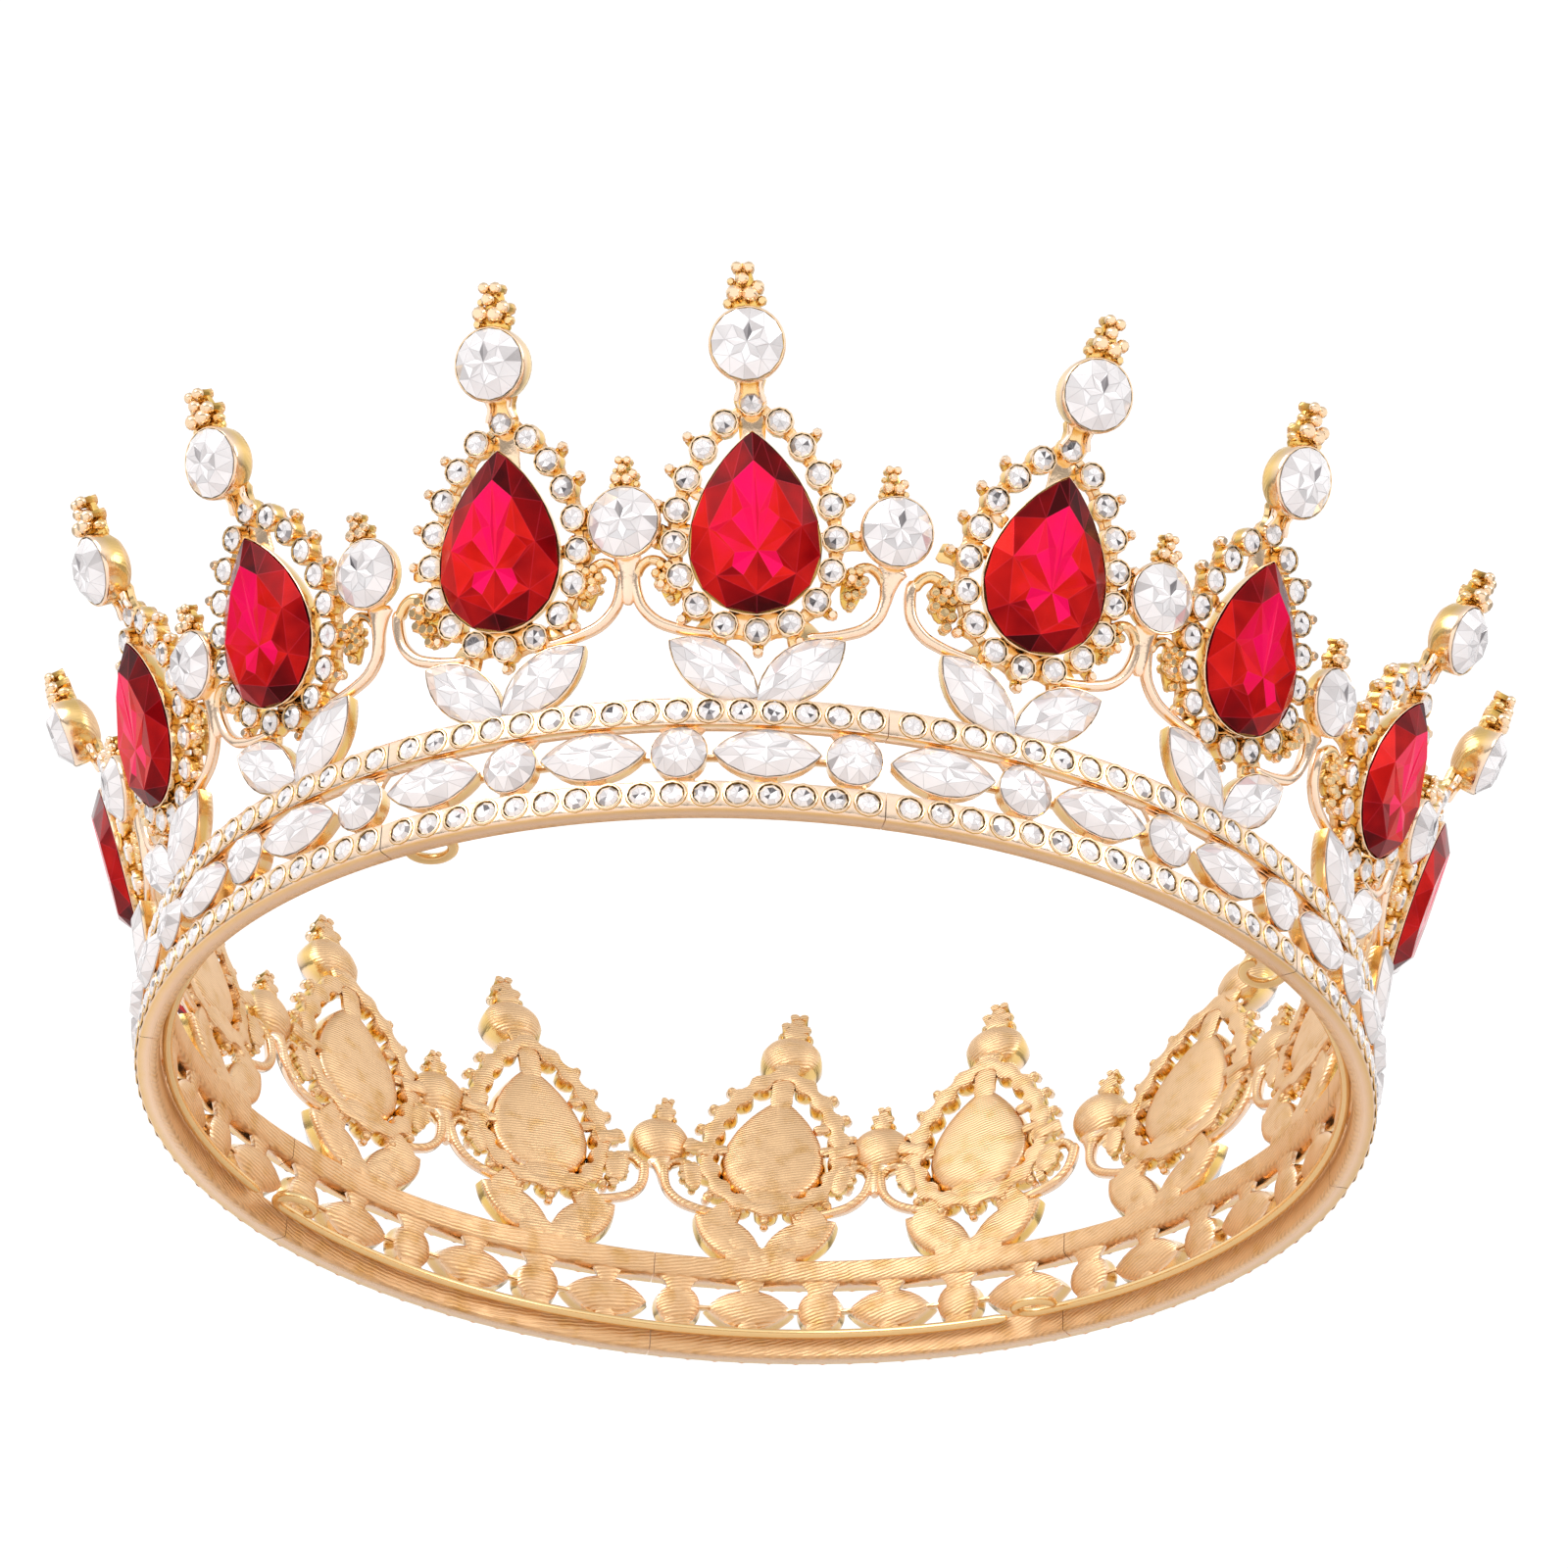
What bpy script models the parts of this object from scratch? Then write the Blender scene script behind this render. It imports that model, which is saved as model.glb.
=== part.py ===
"""A round crown in metres, +Z up, standing on its lower rim with the front at -Y.

Eight cast segments make the ring. Each holds two tall peaks and two valley settings. Large stones sit in
their cups, and four wires with hairpin eyelets stiffen the inside. A place on the crown is written as
(along, up, out): the distance round the band from a segment's middle, the distance up the casting's face,
and the distance out from the casting's back. Above the band the face leans out, in one direction for a
whole segment, so the two peaks of a segment stay parallel. Up is along the face, so heights add up there.
"""

import math

import bmesh
import bpy
from mathutils import Matrix, Vector

MM = 0.001

# Ring and band
SEGMENTS = 8
INNER_RADIUS = 73.0 * MM  # back of the band, the space for the head
RIM_THICKNESS = 2.8 * MM
RIM_HEIGHT = 3.6 * MM
WINDOW_HEIGHT = 7.1 * MM  # between the two rims
SEAM_GAP = 0.4 * MM
RIM_STEPS = 6  # facets of one segment's rims

# Lean of everything above the band
LEAN_START = math.radians(13.0)
LEAN_GAIN = math.radians(0.32) / MM  # further lean for each unit up the face

# Row of stones between the rims: navettes and rounds by turns
ROW_NAVETTE_LENGTH = 12.0 * MM
ROW_NAVETTE_WIDTH = 6.0 * MM
ROW_ROUND = 6.3 * MM
ROW_CUP_DEPTH = 2.5 * MM

# Large stones
PEAR_WIDTH = 14.8 * MM
PEAR_LENGTH = 20.9 * MM
PEAR_SHOULDER = 0.7  # lower is fuller near the tip
PEAK_CRYSTAL = 8.2 * MM
VALLEY_CRYSTAL = 8.0 * MM
STONE_CROWN = 1.7 * MM  # height from girdle to table
STONE_GIRDLE = 0.7 * MM
STONE_BACK = 1.6 * MM  # depth below the girdle
PEAR_TABLE_INSET = 2.6 * MM  # from the girdle in to the table's edge
ROUND_TABLE_INSET = 1.7 * MM
CLEARANCE = 0.3 * MM  # between a stone and its cup, and between a wire and the band

# Settings
CUP_WALL = 0.7 * MM
CUP_FLOOR = 1.0 * MM
PAVE_BAND = 3.2 * MM  # width of the flange that carries the small stones round a pear
PAVE_THICKNESS = 1.9 * MM
FLANGE_SHOULDER = 0.5
PEAR_RISE = 20.0 * MM  # widest-stone centre above the band
PEAK_CRYSTAL_RISE = 21.8 * MM  # crystal above the pear's centre
VALLEY_CRYSTAL_RISE = 1.5 * MM
END_CRYSTAL_SHIFT = 1.4 * MM  # the last valley crystal overhangs the seam
DEEP_CUP_FLOOR = 2.2 * MM

# Leaves
LEAF_LENGTH = 12.0 * MM
LEAF_WIDTH = 6.0 * MM
LEAF_ANGLE = math.radians(35.0)
LEAF_DEPTH = 2.3 * MM
LEAF_LIFT = 0.5 * MM  # a pair's meeting point above the band
ROOT_RADIUS = 1.3 * MM  # of the post that joins a pair to the band
ROOT_REACH = 2.0 * MM  # how far that post runs up between the leaves
STRUT_RADIUS = 0.8 * MM
STRUT_SPREAD = 3.4 * MM  # from the setting's middle to where a leaf's strut leaves its flange
STRUT_SINK = 2.2 * MM  # how far the strut starts inside the flange

# Bars: necks, stems, struts and scrolls
BAR_OUT = 1.1 * MM  # from the casting's back to a bar's middle
NECK_RADIUS = 1.2 * MM
STEM_RADIUS = 1.3 * MM
STEM_FOOT = 8.2 * MM  # below the pear's centre
SCROLL_RADIUS = 0.75 * MM
SCROLL_END = 4.4 * MM  # from the setting's middle to where a scroll meets its flange
SCROLL_SINK = 1.3 * MM
# A scroll's points before its end, as (back from the valley, up from the pear's centre)
SCROLL_CURL = ((3.15 * MM, -5.0 * MM), (1.95 * MM, -2.9 * MM), (0.75 * MM, -5.5 * MM))
SCROLL_SWEEP = ((2.15 * MM, -9.2 * MM), (4.65 * MM, -11.4 * MM))

# Finials: length, radius at the foot and distance out of their middle
PEAK_FINIAL = (5.5 * MM, 1.7 * MM, 1.9 * MM)
VALLEY_FINIAL = (3.4 * MM, 1.36 * MM, 1.5 * MM)

# Wires
WIRES = 4
WIRE_RADIUS = 0.65 * MM
WIRE_STEP = math.radians(9.0)
EYELET_REACH = 5.8 * MM
EYELET_WIDTH = 7.0 * MM
EYELET_SHIFT = 2.6 * MM  # of an eyelet's middle past a seam
EYELET_TURN = math.radians(280.0)

ROUND_SIDES = 8  # of a round stone and its cup
OVERLAP = 0.5 * MM  # how far joined shapes run into each other

BAND_HEIGHT = 2 * RIM_HEIGHT + WINDOW_HEIGHT
OUTER_RADIUS = INNER_RADIUS + RIM_THICKNESS
SEGMENT_ANGLE = 2 * math.pi / SEGMENTS
SEGMENT_ARC = SEGMENT_ANGLE * OUTER_RADIUS
PEAK_PLACE = SEGMENT_ARC / 4
PEAR_UP = BAND_HEIGHT + PEAR_RISE
PEAR_TOP = 0.55 * PEAR_LENGTH  # tip of a pear stone above its widest-stone centre


# Places on the crown


def lean(up):
    """How far the face stands out and up at a distance up it, and its angle there."""
    if up <= BAND_HEIGHT:
        return 0.0, up, 0.0
    angle = LEAN_START + LEAN_GAIN * (up - BAND_HEIGHT)
    out = (math.cos(LEAN_START) - math.cos(angle)) / LEAN_GAIN
    rise = (math.sin(angle) - math.sin(LEAN_START)) / LEAN_GAIN
    return out, BAND_HEIGHT + rise, angle


def frame(along, up, out=0.0):
    """A matrix whose X runs round the band, Y up the face and Z out of it."""
    turn = along / OUTER_RADIUS
    shift, height, angle = lean(up)
    place = Vector((INNER_RADIUS * math.sin(turn), -INNER_RADIUS * math.cos(turn) - shift, height))
    up_face = Vector((0.0, -math.sin(angle), math.cos(angle)))
    outward = Vector((math.cos(turn), math.sin(turn), 0.0)).cross(up_face).normalized()
    matrix = Matrix((up_face.cross(outward), up_face, outward)).transposed().to_4x4()
    matrix.translation = place + out * outward
    return matrix


def point(along, up, out):
    return frame(along, up, out).translation


# Outlines, as points round a closed figure


def circle(radius, sides):
    return [
        (radius * math.cos(2 * math.pi * k / sides), radius * math.sin(2 * math.pi * k / sides))
        for k in range(sides)
    ]


def navette(length, width, steps=4):
    """Two equal arcs that meet in a point at each end; even steps put a corner on each arc's top."""
    half, rise = length / 2, width / 2
    radius = (half * half + rise * rise) / (2 * rise)
    reach = math.asin(half / radius)
    arc = [(-1 + 2 * k / steps) * reach for k in range(steps)]
    top = [(radius * math.sin(a), radius * math.cos(a) - radius + rise) for a in arc]
    return [(-x, -y) for x, y in top] + top


def pear(width, low, high, shoulder, points=10):
    """A drop with its tip up, from its lowest to its highest point."""
    fullest = max(math.sin(t) * math.sin(t / 2) ** shoulder for t in (0.01 * k for k in range(1, 314)))
    reach = width / 2 / fullest
    outline = []
    for k in range(points):
        t = 2 * math.pi * k / points
        across = reach * math.sin(t) * abs(math.sin(t / 2)) ** shoulder
        outline.append((-across, (high + low) / 2 + (high - low) / 2 * math.cos(t)))
    return outline


def stone_outline(grow=0.0):
    low = PEAR_TOP - PEAR_LENGTH
    return pear(PEAR_WIDTH + 2 * grow, low - grow, PEAR_TOP + 1.4 * grow, PEAR_SHOULDER)


def flange_outline():
    low = PEAR_TOP - PEAR_LENGTH - CUP_WALL - CLEARANCE
    return pear(
        PEAR_WIDTH + 2 * (CUP_WALL + PAVE_BAND),
        low - PAVE_BAND,
        PEAR_TOP + CUP_WALL + CLEARANCE + 1.2 * PAVE_BAND,
        FLANGE_SHOULDER,
    )


# Solids


def as_object(name, mesh, matrix, collection):
    made = bpy.data.objects.new(name, mesh)
    made.matrix_world = matrix
    collection.objects.link(made)
    return made


def solid_of(curve, matrix, collection):
    """The closed mesh of a curve, in place of the curve."""
    guide = as_object(curve.name, curve, matrix, collection)
    bpy.context.view_layer.update()
    mesh = bpy.data.meshes.new_from_object(guide.evaluated_get(bpy.context.evaluated_depsgraph_get()))
    bpy.data.objects.remove(guide, do_unlink=True)
    shape = bmesh.new()
    shape.from_mesh(mesh)
    bmesh.ops.remove_doubles(shape, verts=shape.verts, dist=0.001 * MM)
    bmesh.ops.recalc_face_normals(shape, faces=shape.faces)
    shape.to_mesh(mesh)
    shape.free()
    return as_object(curve.name, mesh, matrix, collection)


def plate(name, outline, low, high, matrix, collection):
    """A flat outline with a thickness, from low to high along the matrix's Z."""
    curve = bpy.data.curves.new(name, "CURVE")
    curve.dimensions = "2D"
    curve.fill_mode = "BOTH"
    curve.extrude = (high - low) / 2
    line = curve.splines.new("POLY")
    line.points.add(len(outline) - 1)
    for corner, (x, y) in zip(line.points, outline):
        corner.co = (x, y, 0.0, 1.0)
    line.use_cyclic_u = True
    return solid_of(curve, matrix @ Matrix.Translation((0.0, 0.0, (low + high) / 2)), collection)


def tube(name, route, radius, rounding, collection):
    curve = bpy.data.curves.new(name, "CURVE")
    curve.dimensions = "3D"
    curve.bevel_depth = radius
    curve.bevel_resolution = rounding
    curve.use_fill_caps = True
    line = curve.splines.new("POLY")
    line.points.add(len(route) - 1)
    for corner, place in zip(line.points, route):
        corner.co = (*place, 1.0)
    return solid_of(curve, Matrix.Identity(4), collection)


def sector(name, inner, outer, low, high, collection):
    """One segment's share of a flat ring, between two heights."""
    half = SEGMENT_ANGLE / 2 - SEAM_GAP / 2 / outer
    turns = [half * (2 * k / RIM_STEPS - 1) for k in range(RIM_STEPS + 1)]
    far = [(outer * math.sin(a), -outer * math.cos(a)) for a in turns]
    near = [(inner * math.sin(a), -inner * math.cos(a)) for a in reversed(turns)]
    return plate(name, far + near, low, high, Matrix.Identity(4), collection)


def spire(name, radius, height, matrix, collection):
    """A four-sided point that rises along the matrix's Y."""
    bpy.ops.mesh.primitive_cone_add(vertices=4, radius1=radius, radius2=radius / 3, depth=height)
    made = bpy.context.object
    made.name = name
    for other in list(made.users_collection):
        other.objects.unlink(made)
    collection.objects.link(made)
    made.matrix_world = matrix @ Matrix.Rotation(-math.pi / 2, 4, "X")
    return made


# The casting


def cup_height(floor):
    return floor + CLEARANCE + STONE_BACK + STONE_GIRDLE / 2


def add_cup(name, outline, opening, matrix, floor, shapes, cutters, back=0.0):
    """A cup to hold a stone: its solid, and the cutter for its seat."""
    top = cup_height(floor)
    plate(name, outline, back, top, matrix, shapes)
    plate(name + "_seat", opening, floor, top + OVERLAP, matrix, cutters)


def add_band(shapes):
    sector("lower_rim", INNER_RADIUS, OUTER_RADIUS, 0.0, RIM_HEIGHT, shapes)
    sector("upper_rim", INNER_RADIUS, OUTER_RADIUS, BAND_HEIGHT - RIM_HEIGHT, BAND_HEIGHT, shapes)
    long_cup, round_cup = ROW_NAVETTE_LENGTH + CUP_WALL, ROW_ROUND + CUP_WALL
    room = SEGMENT_ARC - SEAM_GAP
    pairs = int(room / (long_cup + round_cup))
    first = -room / 2 + long_cup / 2
    last = room / 2 - round_cup / 2
    tall = WINDOW_HEIGHT + 2 * OVERLAP  # each cup runs into both rims
    for k in range(2 * pairs):
        place = frame(first + (last - first) * k / (2 * pairs - 1), BAND_HEIGHT / 2)
        if k % 2:
            outline = [(x, y * tall / round_cup) for x, y in circle(round_cup / 2, ROUND_SIDES)]
        else:
            outline = navette(long_cup, tall)
        plate(f"row_cup_{k}", outline, OVERLAP / 2, ROW_CUP_DEPTH, place, shapes)


def add_finial(name, along, top, size, shapes):
    """A spire on a setting whose top edge is given."""
    length, radius, out = size
    spire(name + "_finial", radius, length, frame(along, top + length / 2 - OVERLAP, out), shapes)


def add_peak(side, shapes, cutters):
    """A pear setting with its leaves below, its crystal above and a scroll on each side."""
    along = side * PEAK_PLACE
    name = "left" if side < 0 else "right"
    setting = frame(along, PEAR_UP)
    wall = CUP_WALL + CLEARANCE
    plate(name + "_flange", flange_outline(), 0.0, PAVE_THICKNESS, setting, shapes)
    seat = stone_outline(CLEARANCE)
    add_cup(name + "_pear_cup", stone_outline(wall), seat, setting, CUP_FLOOR, shapes, cutters, OVERLAP)

    crystal_up = PEAR_UP + PEAK_CRYSTAL_RISE
    cup_radius = PEAK_CRYSTAL / 2 + wall
    rim = circle(cup_radius, ROUND_SIDES)
    seat = circle(PEAK_CRYSTAL / 2 + CLEARANCE, ROUND_SIDES)
    add_cup(name + "_peak_cup", rim, seat, frame(along, crystal_up), DEEP_CUP_FLOOR, shapes, cutters)
    flange_top = PEAR_UP + max(y for x, y in flange_outline())
    ends = (flange_top - 2 * OVERLAP, crystal_up - cup_radius + 2 * OVERLAP)
    tube(name + "_neck", [point(along, up, BAR_OUT) for up in ends], NECK_RADIUS, 0, shapes)
    add_finial(name, along, crystal_up + cup_radius, PEAK_FINIAL, shapes)

    flange_low = PEAR_UP + min(y for x, y in flange_outline())
    ends = (BAND_HEIGHT - 2 * OVERLAP, BAND_HEIGHT + LEAF_LIFT + ROOT_REACH)
    tube(name + "_root", [point(along, up, BAR_OUT) for up in ends], ROOT_RADIUS, 0, shapes)
    for hand in (-1, 1):
        leaf_along = along + hand * LEAF_LENGTH / 2 * math.cos(LEAF_ANGLE)
        leaf_up = BAND_HEIGHT + LEAF_LIFT + LEAF_LENGTH / 2 * math.sin(LEAF_ANGLE)
        turned = frame(leaf_along, leaf_up) @ Matrix.Rotation(hand * LEAF_ANGLE, 4, "Z")
        leaf = navette(LEAF_LENGTH + CUP_WALL, LEAF_WIDTH + CUP_WALL)
        plate(f"{name}_leaf_{hand}", leaf, 0.0, LEAF_DEPTH, turned, shapes)
        strut = [
            point(along + hand * STRUT_SPREAD, flange_low + STRUT_SINK, BAR_OUT),
            point(leaf_along - hand * OVERLAP, leaf_up + LEAF_WIDTH / 4, BAR_OUT),
        ]
        tube(f"{name}_strut_{hand}", strut, STRUT_RADIUS, 0, shapes)
        add_scroll(f"{name}_scroll_{hand}", along, hand, flange_low, shapes)


def add_scroll(name, along, hand, flange_low, shapes):
    """A C-scroll: it curls beside the setting, swings along the valley and ends under the flange."""
    route = [(PEAK_PLACE - back, PEAR_UP + up) for back, up in SCROLL_CURL + SCROLL_SWEEP]
    route.append((SCROLL_END, flange_low + SCROLL_SINK))
    places = [point(along + hand * x, up, BAR_OUT) for x, up in route]
    tube(name, places, SCROLL_RADIUS, 0, shapes)


def add_valley(name, along, shift, shapes, cutters):
    """A small round setting on a stem between two scrolls."""
    up = PEAR_UP + VALLEY_CRYSTAL_RISE
    cup_radius = VALLEY_CRYSTAL / 2 + CUP_WALL + CLEARANCE
    rim = circle(cup_radius, ROUND_SIDES)
    seat = circle(VALLEY_CRYSTAL / 2 + CLEARANCE, ROUND_SIDES)
    add_cup(name + "_cup", rim, seat, frame(along + shift, up), CUP_FLOOR, shapes, cutters)
    foot = point(along + shift / 2, PEAR_UP - STEM_FOOT, BAR_OUT)
    head = point(along + shift, up - cup_radius + 2 * OVERLAP, BAR_OUT)
    tube(name + "_stem", [foot, head], STEM_RADIUS, 0, shapes)
    add_finial(name, along + shift, up + cup_radius, VALLEY_FINIAL, shapes)


def segment_mesh(cutters):
    """The whole casting of the segment whose middle is at -Y."""
    shapes = bpy.data.collections.new("Casting shapes")
    bpy.context.scene.collection.children.link(shapes)
    shapes.hide_render = True
    add_band(shapes)
    for side in (-1, 1):
        add_peak(side, shapes, cutters)
    add_valley("middle", 0.0, 0.0, shapes, cutters)
    add_valley("end", SEGMENT_ARC / 2, END_CRYSTAL_SHIFT, shapes, cutters)
    body = shapes.objects["lower_rim"]
    shapes.objects.unlink(body)
    bpy.context.scene.collection.objects.link(body)
    for operation, group in (("UNION", shapes), ("DIFFERENCE", cutters)):
        joining = body.modifiers.new(operation.title(), "BOOLEAN")
        joining.operation = operation
        joining.solver = "EXACT"
        joining.operand_type = "COLLECTION"
        joining.collection = group
    bpy.context.view_layer.update()
    mesh = bpy.data.meshes.new_from_object(body.evaluated_get(bpy.context.evaluated_depsgraph_get()))
    mesh.transform(body.matrix_world)
    for shape in [body, *shapes.objects]:
        bpy.data.objects.remove(shape, do_unlink=True)
    bpy.data.collections.remove(shapes)
    for cutter in cutters.objects:
        cutter.hide_render = True
        cutter.display_type = "WIRE"
    mesh.name = "segment"
    return mesh


# Stones and wires


def stone_mesh(name, outline, table_inset, collection):
    """A cut stone: a thin girdle with a crown above it and a shallower back below, its girdle at z = 0."""
    rough = plate(name, outline, -STONE_GIRDLE / 2, STONE_GIRDLE / 2, Matrix.Identity(4), collection)
    mesh = rough.data
    mesh.transform(rough.matrix_world)
    bpy.data.objects.remove(rough, do_unlink=True)
    shape = bmesh.new()
    shape.from_mesh(mesh)
    bmesh.ops.dissolve_limit(shape, angle_limit=math.radians(1), verts=shape.verts, edges=shape.edges)
    crown = max(shape.faces, key=lambda face: face.normal.z)
    back = min(shape.faces, key=lambda face: face.normal.z)
    bmesh.ops.inset_individual(
        shape, faces=[crown], thickness=table_inset, depth=STONE_CROWN, use_even_offset=True
    )
    back_depth = STONE_BACK - STONE_GIRDLE / 2
    bmesh.ops.inset_individual(
        shape, faces=[back], thickness=table_inset, depth=back_depth, use_even_offset=True
    )
    shape.to_mesh(mesh)
    shape.free()
    mesh.name = name
    return mesh


def stone_seat(along, up, floor):
    return frame(along, up, floor + CLEARANCE + STONE_BACK)


def wire_route(start):
    """From just after one eyelet round to the next, then once round an oval that reaches inwards."""
    radius = INNER_RADIUS - CLEARANCE - WIRE_RADIUS
    height = RIM_HEIGHT - WIRE_RADIUS
    end = start + 2 * math.pi / WIRES
    room = (EYELET_WIDTH / 2 + 2 * WIRE_RADIUS + 2 * CLEARANCE) / radius
    steps = round((end - start - room) / WIRE_STEP)
    turns = [start + room + (end - start - room) * k / steps for k in range(steps + 1)]
    route = [(radius * math.sin(a), -radius * math.cos(a), height) for a in turns]
    middle = radius - EYELET_REACH / 2 + WIRE_RADIUS
    for k in range(1, 9):
        turn = EYELET_TURN * k / 8
        out = middle + (radius - middle) * math.cos(turn)
        side = end + (EYELET_WIDTH / 2 - WIRE_RADIUS) * math.sin(turn) / radius
        route.append((out * math.sin(side), -out * math.cos(side), height))
    return route


# Materials, one for each kind of piece


def material(name, colour, metallic, roughness):
    made = bpy.data.materials.new(name)
    made.use_nodes = True
    shader = made.node_tree.nodes["Principled BSDF"]
    shader.inputs["Base Color"].default_value = (*colour, 1.0)
    shader.inputs["Metallic"].default_value = metallic
    shader.inputs["Roughness"].default_value = roughness
    return made


def place_copies(crown):
    """Every node of the crown, each its own object."""
    gold = material("Gold casting", (0.87, 0.60, 0.26), 1.0, 0.28)
    wire_gold = material("Gold wire", (0.88, 0.62, 0.22), 1.0, 0.22)
    ruby = material("Ruby stone", (0.62, 0.01, 0.05), 0.0, 0.08)
    clear = material("Clear stone", (0.86, 0.87, 0.90), 0.0, 0.06)

    cutters = bpy.data.collections.new("Cutters")
    bpy.context.scene.collection.children.link(cutters)
    segment = segment_mesh(cutters)
    segment.materials.append(gold)
    pear_stone = stone_mesh("pear_stone", stone_outline(), PEAR_TABLE_INSET, crown)
    pear_stone.materials.append(ruby)
    peak_crystal = stone_mesh(
        "peak_crystal", circle(PEAK_CRYSTAL / 2, ROUND_SIDES), ROUND_TABLE_INSET, crown
    )
    peak_crystal.materials.append(clear)
    valley_crystal = stone_mesh(
        "valley_crystal", circle(VALLEY_CRYSTAL / 2, ROUND_SIDES), ROUND_TABLE_INSET, crown
    )
    valley_crystal.materials.append(clear)

    end_place = SEGMENT_ARC / 2 + END_CRYSTAL_SHIFT
    for k in range(SEGMENTS):
        turned = Matrix.Rotation((k - 0.25) * SEGMENT_ANGLE, 4, "Z")  # a peak faces the front
        as_object(f"segment_{k + 1}", segment, turned, crown)
        for j, side in enumerate((-1, 1)):
            number = 2 * k + j + 1
            along = side * PEAK_PLACE
            seat = stone_seat(along, PEAR_UP, CUP_FLOOR)
            as_object(f"pear_stone_{number:02d}", pear_stone, turned @ seat, crown)
            seat = stone_seat(along, PEAR_UP + PEAK_CRYSTAL_RISE, DEEP_CUP_FLOOR)
            as_object(f"peak_crystal_{number:02d}", peak_crystal, turned @ seat, crown)
            seat = stone_seat((0.0, end_place)[j], PEAR_UP + VALLEY_CRYSTAL_RISE, CUP_FLOOR)
            as_object(f"valley_crystal_{number:02d}", valley_crystal, turned @ seat, crown)
    for k in range(WIRES):
        start = k * 2 * math.pi / WIRES - 0.75 * SEGMENT_ANGLE + EYELET_SHIFT / INNER_RADIUS
        wire = tube(f"rim_wire_{k + 1}", wire_route(start), WIRE_RADIUS, 1, crown)
        wire.data.materials.append(wire_gold)


def main():
    for old in list(bpy.data.objects):
        bpy.data.objects.remove(old, do_unlink=True)
    crown = bpy.data.collections.new("Crown")
    bpy.context.scene.collection.children.link(crown)
    place_copies(crown)
    for made in crown.objects:
        made.data.shade_smooth()
        made.data.set_sharp_from_angle(angle=math.radians(25))


main()
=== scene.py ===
import math

import bmesh
import bpy
import numpy as np
from mathutils import Matrix, Vector


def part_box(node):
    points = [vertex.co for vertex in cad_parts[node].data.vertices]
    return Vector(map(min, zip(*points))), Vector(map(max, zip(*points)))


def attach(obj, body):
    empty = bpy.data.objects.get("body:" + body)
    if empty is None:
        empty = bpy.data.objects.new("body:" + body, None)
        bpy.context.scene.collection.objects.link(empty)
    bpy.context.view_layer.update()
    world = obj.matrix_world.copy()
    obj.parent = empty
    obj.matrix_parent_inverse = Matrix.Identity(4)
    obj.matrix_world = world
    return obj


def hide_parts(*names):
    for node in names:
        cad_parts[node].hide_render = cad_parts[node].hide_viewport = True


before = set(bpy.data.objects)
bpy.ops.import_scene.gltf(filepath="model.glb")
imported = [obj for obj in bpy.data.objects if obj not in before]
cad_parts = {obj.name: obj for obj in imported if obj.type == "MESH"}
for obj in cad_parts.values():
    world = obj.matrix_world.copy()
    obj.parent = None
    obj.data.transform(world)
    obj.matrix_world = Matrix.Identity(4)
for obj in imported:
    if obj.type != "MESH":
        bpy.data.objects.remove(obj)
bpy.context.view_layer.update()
print("frame loaded:", len(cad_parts), "nodes")

dice = np.random.default_rng(41)
metres = 0.001  # every length below is in millimetres

# The ring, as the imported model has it
ring = {
    "segments": 8,
    "innerRadius": 73.0,
    "thickness": 2.8,
    "rimHeight": 3.6,
    "windowHeight": 7.1,
    "seamGap": 0.12,
    "leanStart": math.radians(13.0),
    "leanGain": math.radians(0.32),  # for each millimetre up the face
    "pearRise": 20.0,
    "crystalRise": 21.8,  # above the pear's middle
    "valleyRise": 1.5,
    "endShift": 1.4,  # of the last valley crystal past the segment's end
    "leafLift": 0.5,  # meeting point of two leaves above the band
}
bandHeight = 2 * ring["rimHeight"] + ring["windowHeight"]
outerRadius = ring["innerRadius"] + ring["thickness"]
segmentAngle = 2 * math.pi / ring["segments"]
segmentArc = segmentAngle * outerRadius
peakPlace = segmentArc / 4
pearUp = bandHeight + ring["pearRise"]


# Places on the crown


def axesAt(along, up):
    # round the band, up the face and out of it; above the band the face leans by leanStart plus leanGain
    # times the height
    angle = np.where(up > bandHeight, ring["leanStart"] + ring["leanGain"] * (up - bandHeight), 0.0)
    turn = along / outerRadius
    flat = np.zeros_like(angle + turn)
    upFace = np.stack([flat, -np.sin(angle) + flat, np.cos(angle) + flat], -1)
    around = np.stack([np.cos(turn) + flat, np.sin(turn) + flat, flat], -1)
    outward = np.cross(around, upFace)
    outward /= np.linalg.norm(outward, axis=-1, keepdims=True)
    return np.cross(upFace, outward), upFace, outward


def bend(flat):
    # a point (along, up, out) goes to radius times sine and cosine of its turn, moved out and up by the arc
    # of the lean
    along, up, out = flat[..., 0], flat[..., 1], flat[..., 2]
    start, gain = ring["leanStart"], ring["leanGain"]
    angle = start + gain * np.maximum(up - bandHeight, 0.0)
    shift = (math.cos(start) - np.cos(angle)) / gain
    height = np.minimum(up, bandHeight) + (np.sin(angle) - math.sin(start)) / gain
    turn = along / outerRadius
    radius = ring["innerRadius"]
    place = np.stack([radius * np.sin(turn), -radius * np.cos(turn) - shift, height], -1)
    return place + out[..., None] * axesAt(along, up)[2]


def seat(along, up, out=0.0, turn=0.0):
    # a stiff setting: local x, y and z lie on the face's axes at one point, turned about the outward one
    acrossFace, upFace, outward = axesAt(np.float64(along), np.float64(up))
    c, s = math.cos(turn), math.sin(turn)
    axes = np.stack([c * acrossFace + s * upFace, -s * acrossFace + c * upFace, outward])
    origin = bend(np.array([along, up, out], float))
    return lambda local: origin + local @ axes


# Meshes from arrays


def newShape():
    return {"points": [], "faces": [], "hollowShade": [], "satin": [], "facetLight": [], "inset": [], "count": 0}


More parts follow.
